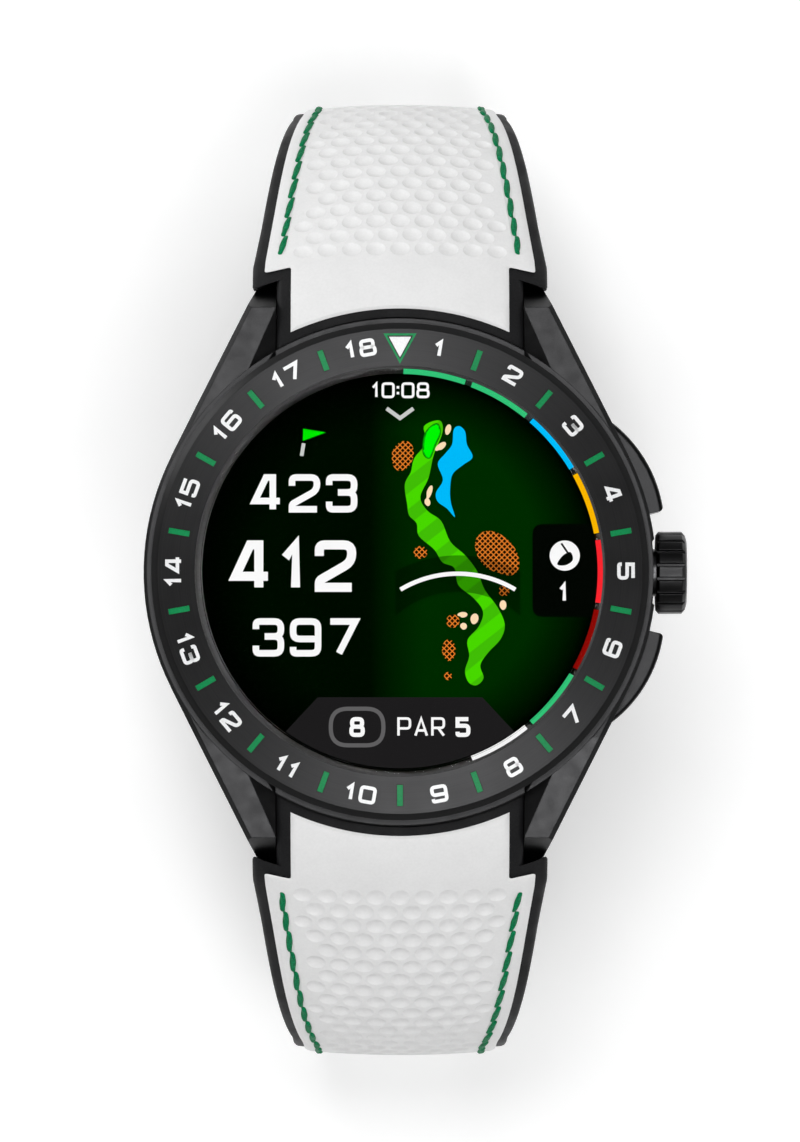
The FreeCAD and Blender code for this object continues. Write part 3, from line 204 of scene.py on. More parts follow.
# Strokes of each sign in a box one wide and one high; a third value of 0 keeps a corner sharp.
SIGNS = {
    "0": [("closed", (0, 0), (1, 0), (1, 1), (0, 1))],
    "1": [("open", (0.0, 0.7, 0), (0.62, 1, 0), (0.62, 0, 0))],
    "2": [("open", (0, 0.74), (0, 1), (1, 1), (1, 0.6), (0, 0.16), (0, 0, 0), (1, 0))],
    "3": [("open", (0, 0.76), (0, 1), (1, 1), (1, 0.53), (0.35, 0.53)),
          ("open", (0.35, 0.53), (1, 0.53), (1, 0), (0, 0), (0, 0.24))],
    "4": [("open", (0.72, 0), (0.72, 1, 0), (0.45, 1, 0), (0, 0.26, 0), (1, 0.26))],
    "5": [("open", (1, 1), (0, 1, 0), (0, 0.58, 0), (1, 0.58), (1, 0), (0, 0), (0, 0.2))],
    "6": [("open", (1, 0.82), (1, 1), (0, 1), (0, 0), (1, 0), (1, 0.56), (0, 0.56))],
    "7": [("open", (0, 1), (1, 1, 0), (0.35, 0))],
    "8": [("closed", (0, 0), (1, 0), (1, 0.52), (0, 0.52)),
          ("closed", (0.06, 0.52), (0.94, 0.52), (0.94, 1), (0.06, 1))],
    "9": [("open", (0, 0.2), (0, 0), (1, 0), (1, 1), (0, 1), (0, 0.45), (1, 0.45))],
    "P": [("open", (0, 0), (0, 1, 0), (1, 1), (1, 0.42), (0, 0.42))],
    "A": [("open", (0, 0), (0.5, 1, 0), (1, 0)), ("open", (0.18, 0.3), (0.82, 0.3))],
    "R": [("open", (0, 0), (0, 1, 0), (1, 1), (1, 0.45), (0, 0.45)), ("open", (0.5, 0.45), (1, 0))],
    ":": [("open", (0, 0.28), (0, 0.29)), ("open", (0, 0.72), (0, 0.73))],
}
NARROW = {"1": 0.5, ":": 0.02}


def lettering(text, centre, height, width, stroke, gap, corner):
    """The strokes of a short text set round a centre, as (line, closed) pairs."""
    wides = [NARROW.get(sign, 1.0) * (width - stroke) + stroke for sign in text]
    left = centre[0] - (sum(wides) + gap * (len(text) - 1)) / 2
    low = centre[1] - height / 2 + stroke / 2
    lines = []
    for sign, wide in zip(text, wides):
        for kind, *points in SIGNS[sign]:
            span = max(wide - stroke, 0.0)
            line = [(left + stroke / 2 + p[0] * span, low + p[1] * (height - stroke), *p[2:])
                    for p in points]
            if sign == ":":
                middle = (line[0][1] + line[1][1]) / 2
                line = [(line[0][0], middle - stroke / 2), (line[0][0], middle + stroke / 2)]
            closed = kind == "closed"
            lines.append((rounded(line, corner, closed), closed))
        left += wide + gap
    return lines


# ---- finishes ----

def set_values(node, values):
    """Fixed values on the sockets of a node."""
    for socket, value in dict(values).items():
        node.inputs[socket].default_value = value
    return node


def finish(name, values=()):
    """A material whose shader holds these fixed values. Returns it with its tree and shader."""
    made = bpy.data.materials.new(name)
    made.use_nodes = True
    return made, made.node_tree, set_values(made.node_tree.nodes["Principled BSDF"], values)


def texture(tree, kind, place, values):
    """A texture node at a place with these fixed values."""
    node = set_values(tree.nodes.new("ShaderNodeTex" + kind), values)
    tree.links.new(place, node.inputs["Vector"])
    return node


def place_of(tree):
    """Object coordinates in millimetres."""
    coords = tree.nodes.new("ShaderNodeTexCoord")
    scale = tree.nodes.new("ShaderNodeVectorMath")
    scale.operation = "SCALE"
    scale.inputs["Scale"].default_value = 1 / MM
    tree.links.new(coords.outputs["Object"], scale.inputs[0])
    return scale.outputs[0]


def grey(value):
    return value, value, value


def mapped(tree, place, socket, value):
    """Coordinates scaled or turned by a fixed vector."""
    node = tree.nodes.new("ShaderNodeMapping")
    node.inputs[socket].default_value = value
    tree.links.new(place, node.inputs["Vector"])
    return node.outputs[0]


def maths(tree, operation, *values):
    """A Math node. Each value is a number or another node's output."""
    node = tree.nodes.new("ShaderNodeMath")
    node.operation = operation
    for socket, value in zip(node.inputs, values):
        if isinstance(value, (int, float)):
            socket.default_value = value
        else:
            tree.links.new(value, socket)
    return node.outputs[0]


def vector_maths(tree, operation, place, value=(0, 0, 0)):
    """A Vector Math node on a place and a fixed vector, which LENGTH doesn't use."""
    node = tree.nodes.new("ShaderNodeVectorMath")
    node.operation = operation
    node.inputs[1].default_value = value
    tree.links.new(place, node.inputs[0])
    return node.outputs["Value" if operation == "LENGTH" else "Vector"]


def flat_length(tree, place):
    """Distance from the Z axis."""
    return vector_maths(tree, "LENGTH", vector_maths(tree, "MULTIPLY", place, (1, 1, 0)))


def coordinate(tree, place, axis):
    """One coordinate of a place."""
    split = tree.nodes.new("ShaderNodeSeparateXYZ")
    tree.links.new(place, split.inputs[0])
    return split.outputs[axis]


def multiply(tree, first, second):
    """Two colours multiplied."""
    node = tree.nodes.new("ShaderNodeMix")
    node.data_type = "RGBA"
    node.blend_type = "MULTIPLY"
    node.inputs["Factor"].default_value = 1.0
    tree.links.new(first, node.inputs[6])
    tree.links.new(second, node.inputs[7])
    return node.outputs[2]


def noise(tree, place, size, detail=3.0, stretch=None):
    """Noise with features of about one size in millimetres, drawn out by a stretch along x, y and z."""
    if stretch:
        place = mapped(tree, place, "Scale", stretch)
    return texture(tree, "Noise", place, {"Scale": 1 / size, "Detail": detail}).outputs["Fac"]


def pebbled(tree, place, size):
    """Soft rounded cells of about one size in millimetres."""
    cells = texture(tree, "Voronoi", place, {"Scale": 1 / size})
    cells.feature = "SMOOTH_F1"
    return cells.outputs["Distance"]


def ramp(tree, factor, *stops):
    """A colour ramp from (position, colour) stops."""
    node = tree.nodes.new("ShaderNodeValToRGB")
    elements = node.color_ramp.elements
    while len(elements) < len(stops):
        elements.new(0.5)
    for element, (position, colour) in zip(elements, stops):
        element.position = position
        element.color = (*colour, 1)
    tree.links.new(factor, node.inputs["Fac"])
    return node.outputs["Color"]


def spread(tree, factor, low, high, start=0.3, end=0.7):
    """Maps the middle of a noise to a range of values."""
    node = set_values(tree.nodes.new("ShaderNodeMapRange"),
                      {"From Min": start, "From Max": end, "To Min": low, "To Max": high})
    tree.links.new(factor, node.inputs["Value"])
    return node.outputs["Result"]


def surface(tree, shader, colour, rough, height, depth, strength, round_edges=0.0):
    """Links a colour, a roughness and a bump, depth in millimetres. round_edges softens sharp corners."""
    tree.links.new(colour, shader.inputs["Base Color"])
    tree.links.new(rough, shader.inputs["Roughness"])
    node = tree.nodes.new("ShaderNodeBump")
    node.inputs["Strength"].default_value = strength
    node.inputs["Distance"].default_value = depth * MM
    tree.links.new(height, node.inputs["Height"])
    if round_edges:
        bevel = tree.nodes.new("ShaderNodeBevel")
        bevel.samples = 4
        bevel.inputs["Radius"].default_value = round_edges * MM
        tree.links.new(bevel.outputs[0], node.inputs["Normal"])
    tree.links.new(node.outputs[0], shader.inputs["Normal"])


def two_tone(name, dark, light, grain, rough, values=(), depth=0.004, stretch=None, round_edges=0.0):
    """A finish whose colour, gloss and surface vary with a fine noise."""
    made, tree, shader = finish(name, values)
    place = place_of(tree)
    fine = noise(tree, place, grain, 4.0, stretch)
    broad = noise(tree, place, grain * 14, 2.0)
    colour = ramp(tree, fine, (0.3, dark), (0.7, light))
    surface(tree, shader, colour, spread(tree, broad, *rough), fine, depth, 0.6, round_edges)
    return made


MARK_SIZE = 0.12


def brushed(name, dark, light, rough, values, turned, depth=0.003, round_edges=0.1):
    """Metal with fine marks: round the dial's axis when turned, else along x."""
    made, tree, shader = finish(name, values)
    place = place_of(tree)
    if turned:
        rings = tree.nodes.new("ShaderNodeCombineXYZ")
        tree.links.new(flat_length(tree, place), rings.inputs["X"])
        tree.links.new(coordinate(tree, place, "Z"), rings.inputs["Z"])
        marks = noise(tree, rings.outputs[0], MARK_SIZE, 3.0)
    else:
        marks = noise(tree, place, MARK_SIZE, 3.0, (0.03, 1.0, 1.0))
    broad = noise(tree, place, 3.0, 2.0)
    colour = ramp(tree, marks, (0.25, dark), (0.75, light))
    surface(tree, shader, colour, spread(tree, broad, *rough), marks, depth, 0.5, round_edges)
    return made


def glass(name):
    """Coated crystal: clear, with hardly any reflection and a few faint wipe marks."""
    made, tree, shader = finish(name, {"Base Color": (1, 1, 1, 1), "Transmission Weight": 1.0, "IOR": 1.06,
                                       "Specular IOR Level": 0.25})
    place = place_of(tree)
    marks = noise(tree, place, 5.0, 4.0, (1.0, 0.35, 1.0))
    tree.links.new(spread(tree, marks, 0.0, 0.035, 0.45, 0.8), shader.inputs["Roughness"])
    return made


def leather(name):
    """White grained leather with shallow creases and a slight cast in its pores."""
    made, tree, shader = finish(name, {"Specular IOR Level": 0.35, "Sheen Weight": 0.08})
    place = place_of(tree)
    pebbles = pebbled(tree, place, 0.22)
    mottling = noise(tree, place, 2.6, 3.0)
    fine = noise(tree, place, 0.09, 4.0)
    colour = multiply(tree, ramp(tree, mottling, (0.3, grey(0.80)), (0.7, grey(0.83))),
                      ramp(tree, pebbles, (0.2, grey(1.0)), (0.9, grey(0.96))))
    height = maths(tree, "MULTIPLY_ADD", fine, 0.4, pebbles)
    surface(tree, shader, colour, spread(tree, fine, 0.46, 0.62), height, 0.02, 0.35)
    return made


def thread(name):
    """Green sewing thread: fine fibres across its length in darker and lighter green."""
    made, tree, shader = finish(name, {"Specular IOR Level": 0.1})
    place = place_of(tree)
    fibres = noise(tree, place, 0.08, 4.0, (1.0, 0.4, 0.4))
    broad = noise(tree, place, 0.9, 2.0)
    colour = ramp(tree, fibres, (0.3, (0.0, 0.08, 0.028)), (0.75, (0.0, 0.29, 0.105)))
    surface(tree, shader, colour, spread(tree, broad, 0.45, 0.7), fibres, 0.03, 0.7)
    return made


def tone(red, green, blue):
    """A screen colour given in 0 to 255, as the linear values that a shader takes."""
    return tuple(((c / 255 + 0.055) / 1.055) ** 2.4 if c > 10 else c / 255 / 12.92
                 for c in (red, green, blue))


PIXEL = 0.09
PIXEL_SHADE = 0.93
LATTICE = 0.34
ARC_CENTRE = (5.06, -9.95)
ARC_RADIUS = 9.75
ARC_HALF_ANGLE = 31.0
ARC_BAND = 1.6
BAND_HALF_ANGLE = 34.0


def pixels(tree, place):
    """The display's fine grid of cells as a shade between a little grey and white."""
    values = {"Scale": 1 / PIXEL, "Color1": (1, 1, 1, 1), "Color2": (*grey(PIXEL_SHADE), 1)}
    return texture(tree, "Checker", place, values).outputs["Color"]


def range_shade(tree, place, dim):
    """A darker band on both sides of the distance arc."""
    from_centre = vector_maths(tree, "SUBTRACT", place, (*ARC_CENTRE, 0))
    reach = ARC_RADIUS * math.sin(math.radians(BAND_HALF_ANGLE))
    near = maths(tree, "COMPARE", flat_length(tree, from_centre), ARC_RADIUS, ARC_BAND)
    beside = maths(tree, "COMPARE", coordinate(tree, from_centre, "X"), 0.0, reach)
    above = maths(tree, "GREATER_THAN", coordinate(tree, from_centre, "Y"), 0.0)
    band = maths(tree, "MULTIPLY", maths(tree, "MULTIPLY", near, beside), above)
    return ramp(tree, band, (0.0, grey(1)), (1.0, grey(dim)))


def lit(name, colour_of):
    """A part of the glowing picture. colour_of takes the tree and the place and gives a colour output."""
    made, tree, shader = finish(name, {"Base Color": (0, 0, 0, 1), "Roughness": 0.35,
                                       "Specular IOR Level": 0.0, "Emission Strength": 1.0})
    place = place_of(tree)
    colour = multiply(tree, colour_of(tree, place), pixels(tree, place))
    tree.links.new(colour, shader.inputs["Emission Color"])
    return made


def plain(colour):
    """An even screen colour with the slight unevenness of a real panel."""
    low = tuple(c * 0.96 for c in colour)
    return lambda tree, place: ramp(tree, noise(tree, place, 4.0, 2.0), (0.35, low), (0.65, colour))


def backdrop(tree, place):
    """Near black on the left, dark green under the map, fading to black at the rim."""
    across = spread(tree, coordinate(tree, place, "X"), 0.0, 1.0, -2.6, 2.2)
    green = ramp(tree, across, (0.0, tone(0, 9, 0)), (1.0, tone(0, 40, 0)))
    outward = spread(tree, flat_length(tree, place), 0.0, 1.0, 12.4, 17.2)
    fade = ramp(tree, outward, (0.0, grey(1)), (0.45, grey(0.5)), (1.0, grey(0.02)))
    return multiply(tree, multiply(tree, green, fade), range_shade(tree, place, 0.5))


def mown(tree, place):
    """Fairway grass in slanting mown stripes."""
    turned = mapped(tree, place, "Rotation", (0, 0, math.radians(52)))
    wave = maths(tree, "PINGPONG", coordinate(tree, turned, "X"), 1.1)
    stripes = spread(tree, wave, 0.0, 1.0, 0.5, 0.6)
    grass = ramp(tree, stripes, (0.0, tone(73, 219, 0)), (1.0, tone(66, 192, 6)))
    return multiply(tree, grass, range_shade(tree, place, 0.42))


def foliage(tree, place):
    """Trees as an orange lattice on dark ground."""
    turned = mapped(tree, place, "Rotation", (0, 0, math.radians(45)))
    values = {"Scale": 1.0, "Brick Width": LATTICE, "Row Height": LATTICE, "Mortar Size": LATTICE * 0.13,
              "Mortar Smooth": 0.1, "Color1": (*tone(12, 16, 0), 1), "Color2": (*tone(20, 16, 0), 1),
              "Mortar": (*tone(232, 128, 42), 1)}
    lattice = texture(tree, "Brick", turned, values)
    lattice.offset = 0.0
    return multiply(tree, lattice.outputs["Color"], range_shade(tree, place, 0.6))


METAL = {"Metallic": 1.0}
WHITE_LACQUER = two_tone("white_lacquer", (0.80, 0.81, 0.82), grey(0.9), 0.15, (0.22, 0.34),
                         {"Specular IOR Level": 0.5}, 0.003)
STRAP_BLACK = two_tone("strap_rubber", (0.005, 0.005, 0.0055), (0.010, 0.010, 0.011), 0.16, (0.5, 0.68),
                       {"Specular IOR Level": 0.18}, 0.012)
STRAP_WHITE = leather("strap_leather")
STITCH_GREEN = thread("stitch_thread")

FINISHES = {
    "case_black": two_tone("case_coating", (0.016, 0.016, 0.0165), (0.021, 0.021, 0.0215), 0.09,
                           (0.30, 0.38), METAL, 0.0012, None, 0.12),
    "bezel_black": brushed("bezel_coating", (0.021, 0.021, 0.0215), (0.027, 0.027, 0.0275), (0.32, 0.36),
                           METAL, True, 0.0006, 0.1),
    "lacquer_green": two_tone("tick_lacquer", (0.0, 0.21, 0.06), (0.0, 0.29, 0.085), 0.12, (0.3, 0.45),
                              {"Specular IOR Level": 0.15}, 0.003),
    "lacquer_white": WHITE_LACQUER,
    "crystal_glass": glass("crystal_glass"),
    "display_black": lit("display_ground", backdrop),
    "gasket_black": two_tone("gasket_rubber", grey(0.01), grey(0.022), 0.2, (0.55, 0.7)),
    "frame_plastic": two_tone("moulded_plastic", (0.012, 0.012, 0.013), (0.024, 0.024, 0.026), 0.25,
                              (0.4, 0.55)),
    "board_green": two_tone("circuit_board", (0.006, 0.060, 0.022), (0.014, 0.105, 0.040), 0.5, (0.3, 0.45),
                            (), 0.01),
    "chip_black": two_tone("chip_epoxy", (0.010, 0.010, 0.011), (0.025, 0.025, 0.027), 0.15, (0.45, 0.6)),
    "battery_foil": brushed("battery_foil", (0.50, 0.50, 0.51), (0.66, 0.66, 0.67), (0.25, 0.4),
                            {"Metallic": 0.9}, False, 0.01, 0.0),
    "steel_plain": brushed("plain_steel", (0.46, 0.46, 0.47), grey(0.62), (0.2, 0.32), METAL, False, 0.002,
                           0.06),
    "steel_black": brushed("coated_steel", (0.050, 0.050, 0.052), (0.085, 0.085, 0.088), (0.3, 0.4),
                           METAL, False, 0.002, 0.12),
    "sensor_dark": two_tone("sensor_glass", (0.004, 0.004, 0.005), (0.011, 0.010, 0.012), 1.2, (0.05, 0.1),
                            {"Coat Weight": 0.4, "Coat Roughness": 0.05}, 0.0008),
    "led_white": two_tone("led_epoxy", (0.62, 0.64, 0.58), (0.82, 0.83, 0.74), 0.2, (0.2, 0.3)),
    "contact_gold": brushed("gold_contacts", (0.72, 0.47, 0.16), (0.86, 0.60, 0.25), (0.18, 0.28),
                            METAL, True, 0.002, 0.05),
}


def dress_nodes():
    """Gives each CAD node that stays visible the finish of its material slot."""
    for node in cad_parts.values():
        slot = node.data.materials[0].name.split(".")[0]
        if slot in FINISHES:
            node.data.materials.clear()
            node.data.materials.append(FINISHES[slot])


# ---- the strap's line ----

START_Y = 22.4
START_Z = HEAD + 8.0
SLOPES = [math.radians(a) for a in (10.0, 41.0, 54.5, 90.0, 160.0, 180.0)]
LUG_RADIUS = 10.0
WRIST_RADIUS = 66.0
THICK = 2.6
BLOCK_Y = 26.3
BLOCK_LOW = HEAD + 0.6
FREE_SLOPE = math.radians(47.75)
PAD_PROUD = 0.35
PAD_DEEP = 0.6
BORDER = 1.05
NECK_HALF = 10.86
SHOULDER_Y = 25.86
SHOULDER_SLANT = 0.46
PAD_NECK_HALF = 9.6
PAD_SHOULDER_Y = 27.1
PAD_SLANT = 0.75
PAD_END_Y = 23.7
PAD_ARC = 23.15
STITCH_INSET = 2.35


def strap_turns():
    """The outer face as tangent arcs (radius, start slope, end slope), with slopes below the horizontal.

    The last three take the strap out to STRAP_REACH and lay it flat at STRAP_END and STRAP_LOW."""
    sines = [math.sin(a) for a in SLOPES]
    cosines = [math.cos(a) for a in SLOPES]
    radii = [LUG_RADIUS, WRIST_RADIUS]
    used = sum(r * (sines[i + 1] - sines[i]) for i, r in enumerate(radii))
    radii.append((STRAP_REACH - START_Y - used) / (sines[3] - sines[2]))
    fall = sum(r * (cosines[i] - cosines[i + 1]) for i, r in enumerate(radii))
    back, down = STRAP_REACH - STRAP_END, START_Z - fall - STRAP_LOW
    a, b, c, d = 1 - sines[4], sines[4], -cosines[4], 1 + cosines[4]
    radii += [(back * d - down * b) / (a * d - b * c), (down * a - back * c) / (a * d - b * c)]
    return list(zip(radii, SLOPES, SLOPES[1:]))


TURNS = strap_turns()
LENGTH = sum(radius * (b - a) for radius, a, b in TURNS)


def on_path(run):
    """(y, z, slope) of the outer face at a distance along it, straight before and after the arcs."""
    run = np.asarray(run, float)
    before = np.minimum(run, 0.0)
    y = START_Y + before * math.cos(SLOPES[0])
    z = START_Z - before * math.sin(SLOPES[0])
    slope = np.full(run.shape, SLOPES[0])
    passed = 0.0
    for radius, a, b in TURNS:
        here = a + np.clip(run - passed, 0.0, radius * (b - a)) / radius
        y = y + radius * (np.sin(here) - math.sin(a))
        z = z - radius * (math.cos(a) - np.cos(here))
        slope = np.where(run > passed, here, slope)
        passed += radius * (b - a)
    return y - np.maximum(run - LENGTH, 0.0), z, slope


WIDEST = sum(radius * (b - a) for radius, a, b in TURNS[:3])
UNDER_RUN = sum(radius * (b - a) for radius, a, b in TURNS[:4])
OUTWARD = np.linspace(-8.0, WIDEST, 900)
OUTWARD_Y = on_path(OUTWARD)[0]
INWARD = np.linspace(WIDEST, LENGTH, 900)
INWARD_Y = on_path(INWARD)[0]


def run_at(y):
    """Distance along the strap where its outer face passes a Y on the way out from the case."""
    return np.interp(y, OUTWARD_Y, OUTWARD)


def run_back_at(y):
    """The same on the way back under the wrist."""
    return np.interp(-np.asarray(y, float), -INWARD_Y, INWARD)


BLOCK_RUN = float(run_at(BLOCK_Y))
FREE_RUN = LUG_RADIUS * (SLOPES[1] - SLOPES[0]) + WRIST_RADIUS * (FREE_SLOPE - SLOPES[1])
PAD_END_RUN = float(run_back_at(PAD_END_Y))
CROWN_RUNS = [-3.0, float(run_at(26.0)), WIDEST, UNDER_RUN, LENGTH]
CROWN_BENDS = [0.004, 0.0125, 0.0055, 0.004, 0.0005]
TAPER_HEIGHTS = [-HEAD - 5.0, -18.0, 5.7]
TAPER_HALVES = [9.4, 9.8, 13.0]


def lean(run):
    """Angle of the depth from the vertical: upright between the lugs, then square to the face."""
    slope = on_path(run)[2]
    return np.where(run > FREE_RUN, slope, np.interp(run, [BLOCK_RUN, FREE_RUN], [0.0, FREE_SLOPE]))


def crown(x, run):
    """How far the outer face falls away at a distance from the middle."""
    return np.interp(run, CROWN_RUNS, CROWN_BENDS) * x * x


def inner_depth(x, run):
    """Depth of the inner face: level between the lugs, then parallel to the outer face, half as crowned."""
    z = on_path(run)[1]
    block = on_path(BLOCK_RUN)[1] - BLOCK_LOW
    free = np.interp(run, [BLOCK_RUN, FREE_RUN], [block, THICK])
    share = np.interp(run, [BLOCK_RUN, FREE_RUN], [0.0, 0.5])
    return np.where(run < BLOCK_RUN, z - BLOCK_LOW, free) + share * crown(x, run)


def half_width(run):
    """Half the strap's width, tapering with height."""
    return np.interp(on_path(run)[1] - HEAD, TAPER_HEIGHTS, TAPER_HALVES)


def strap_points(x, run, depth):
    """Points at a depth under the strap's outer face, on the upper half."""
    y, z, _ = on_path(run)
    angle = lean(run)
    return list(zip(x, y - depth * np.sin(angle), z - depth * np.cos(angle)))


def on_half(half, points):
    """Points drawn on the upper half, turned round to the lower half when that is the one wanted."""
    return points if half == "upper" else [(-x, -y, z) for x, y, z in points]


# ---- the strap's black base ----

ROW = 16
TOP_CORNER = 0.5
LOW_CORNER = 0.45
LIP_RADIUS = 22.4
FIT_RADIUS = 20.9
LIP_Z = HEAD + 7.33
NOTCH_HALF = 3.7
EYE_RADIUS = 1.6
EYE_START_Y = 22.5
EYE_ANGLES = range(-75, -271, -15)
EYE_LAP = 0.3
RING_STEP = 0.8
NECK_SHARES = (0.0, 0.25, 0.5, 0.75, 1.0)
SHOULDER_RINGS = ((0.02, 12.6), (0.1, 12.9), (0.3, 13.0))
SKIN_STEP = (0.1, 0.5)


def section(half):
    """The loop of a cross-section as (x, whether on the outer side, how far a corner is rounded in)."""
    across = np.linspace(-(half - TOP_CORNER), half - TOP_CORNER, ROW + 1)
    below = np.linspace(half - LOW_CORNER, -(half - LOW_CORNER), ROW + 1)
    turns = [math.radians(a) for a in (30, 60, 90)]
    top = [(half - TOP_CORNER * (1 - math.sin(t)), True, TOP_CORNER * (1 - math.cos(t))) for t in turns]
    low = [(half - LOW_CORNER * (1 - math.sin(t)), False, LOW_CORNER * (1 - math.cos(t)))
           for t in reversed(turns)]
    loop = [(x, True, 0.0) for x in across] + top + low + [(x, False, 0.0) for x in below]
    return loop + [(-x, outer, e) for x, outer, e in reversed(top + low)]


def base_ring(half, run_of, ceiling=None):
    """One cross-section of the base in space. run_of gives the distance along the strap for each x."""
    loop = section(half)
    x = np.array([p[0] for p in loop])
    run = run_of(x)
    outer = np.array([p[1] for p in loop])
    rounding = np.array([p[2] for p in loop])
    skin = np.interp(run, [PAD_END_RUN + step for step in SKIN_STEP], [PAD_PROUD, 0.0])
    depth = np.where(outer, skin + crown(x, run) + rounding, inner_depth(x, run) - rounding)
    points = strap_points(x, run, depth)
    if ceiling:
        points = [(px, py, min(pz, ceiling)) for px, py, pz in points]
    return points


def base_rings(last_run):
    """Cross-sections of the base from the case to its last distance along the strap."""
    def on_circle(radius, share=0.0):
        return lambda x: run_at(np.sqrt(radius ** 2 - x * x) * (1 - share) + SHOULDER_Y * share)

    def on_shoulder(extra):
        return lambda x: run_at(SHOULDER_Y + extra - SHOULDER_SLANT * np.maximum(np.abs(x) - NECK_HALF, 0))

    rings = [base_ring(NECK_HALF, on_circle(radius), LIP_Z) for radius in (FIT_RADIUS, LIP_RADIUS - 0.03)]
    rings += [base_ring(NECK_HALF, on_circle(LIP_RADIUS, share)) for share in NECK_SHARES]
    rings += [base_ring(half, on_shoulder(extra)) for extra, half in SHOULDER_RINGS]
    first = float(run_at(SHOULDER_Y + SHOULDER_RINGS[-1][0]))
    steps = int((last_run - first) / RING_STEP)
    for i in range(1, steps + 1):
        run = first + (last_run - first) * i / steps
        rings.append(base_ring(float(half_width(run)), lambda x: np.full(x.shape, run)))
    return rings


def loft(rings):
    """One closed shell through cross-sections that are loops of section()."""
    count = len(rings[0])
    points = [p for ring in rings for p in ring]
    faces = []
    for r in range(len(rings) - 1):
        a, b = r * count, (r + 1) * count
        faces += [[a + i, a + (i + 1) % count, b + (i + 1) % count, b + i] for i in range(count)]
    for start in (0, (len(rings) - 1) * count):
        low = 2 * ROW + 7
        faces += [[start + i, start + i + 1, start + low - i - 1, start + low - i] for i in range(ROW)]
        faces.append([start + i for i in range(ROW, ROW + 8)])
        faces.append([start + i for i in range(low, count)] + [start])
    return points, faces


def eye_arm(x_low, x_high):
    """The end of the upper half that wraps the clasp's end bar, as a prism along x."""
    runs = np.linspace(float(run_back_at(EYE_START_Y + EYE_LAP)), LENGTH, 6)
    outer = [(p[1], p[2]) for p in strap_points(np.zeros(6), runs, np.zeros(6))]
    turns = [math.radians(a) for a in EYE_ANGLES]
    eye = [(STRAP_END + EYE_RADIUS * math.cos(t), BAR_Z + EYE_RADIUS * math.sin(t)) for t in turns]
    eye = [(y, z) for y, z in eye if y < STRAP_END - 0.05]
    inner = [(STRAP_END + 0.4, BAR_Z + EYE_RADIUS - 0.12)]
    inner += [(p[1], p[2]) for p in strap_points(np.zeros(3), runs[2::-1], np.full(3, THICK))]
    points, faces = plate(outer + eye + inner, x_low, x_high)
    return [(x, y, z) for y, z, x in points], faces


def strap_base(half, last_run):
    """The black rubber of one half, in one piece from the lugs to the clasp."""
    solid = Solid()
    points, faces = loft(base_rings(last_run))
    solid.add(on_half(half, points), faces)
    if half == "upper":
        end_half = float(half_width(LENGTH))
        for sign in (-1, 1):
            low, high = sorted((sign * NOTCH_HALF, sign * end_half))
            solid.add(*eye_arm(low, high))
    made = solid.piece(f"strap_{half}_rubber", STRAP_BLACK, "strap_black")
    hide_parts(f"strap_{half}_root_base", f"strap_{half}_tail_base")
    return bend(made)


def bend(piece):
    """Bakes the piece's placement into its mesh and returns it."""
    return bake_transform(piece)


# ---- the white leather pad ----

PITCH_ACROSS = 2.14
PITCH_ALONG = 1.83
DIMPLE_RADIUS = 0.88
DIMPLE_DEPTH = 0.3
SMALLEST_DIMPLE = 0.72
RIM_POINTS = 20
SPAN_POINTS = 8
FIRST_DIMPLE_Y = 28.6
EDGE_OFFSETS = (0.1, 0.28, 0.55)
EDGE_DROP = 0.2
GROOVE_DEPTH = 0.1
GROOVE_HALF = 0.42
GROOVE_LINES = (-0.42, -0.22, 0.0, 0.22, 0.42)
GROOVE_LEAD = 0.6
INNER_RINGS = ((0.72, 1), (0.38, 2))
CORNER_LEAD = 0.8
CORNER_ROUND = 0.35
PLAIN_STEP = 0.55
PLAIN_COLUMNS = np.arange(-12, 12.1, 1.0) * 0.88
PLAIN_CLEAR = 0.8
FAR = 99.0
FIRST_DIMPLE = float(run_at(FIRST_DIMPLE_Y))
PAD_SHOULDER = float(run_at(PAD_SHOULDER_Y))
FIELD_START = FIRST_DIMPLE - 1.25
FIELD_END = PAD_END_RUN - 3.0


def pad_half(run):
    """Half the pad's width, inside the black border."""
    return half_width(run) - BORDER


def field_half(run):
    """Half the width of the dimpled field, which ends just inside the stitching."""
    return half_width(run) - np.interp(run, [FIELD_START, WIDEST], [3.9, 3.3])


def stitch_at(run):
    """Distance of the stitched row from the middle."""
    return half_width(run) - STITCH_INSET


SAME_POINT = 1e-5


class Domain:
    """Points and edges of a flat drawing (x, distance along the strap), to be filled with triangles."""

    def __init__(self):
        self.points = []
        self.edges = []

    def line(self, points, closed=False):
        first = len(self.points)
        self.points += [(float(x), float(run)) for x, run in points]
        last = len(self.points) - 1
        self.edges += [(i, i + 1) for i in range(first, last)]
        if closed:
            self.edges.append((last, first))

    def fill(self):
        inside_only = 1
        corners = [Vector(p) for p in self.points]
        points, _, faces = delaunay_2d_cdt(corners, self.edges, [], inside_only, SAME_POINT)[:3]
        return np.array([tuple(p) for p in points]), [list(face) for face in faces]


def row_runs():
    """Distances along the strap of the lines between the rows of dimples, from shoulder to end."""
    first = FIRST_DIMPLE - PITCH_ALONG / 2
    count = int((PAD_END_RUN - first) / PITCH_ALONG)
    rows = [first + PITCH_ALONG * i for i in range(count + 1)]
    return [PAD_SHOULDER + 0.01] + rows + [PAD_END_RUN]


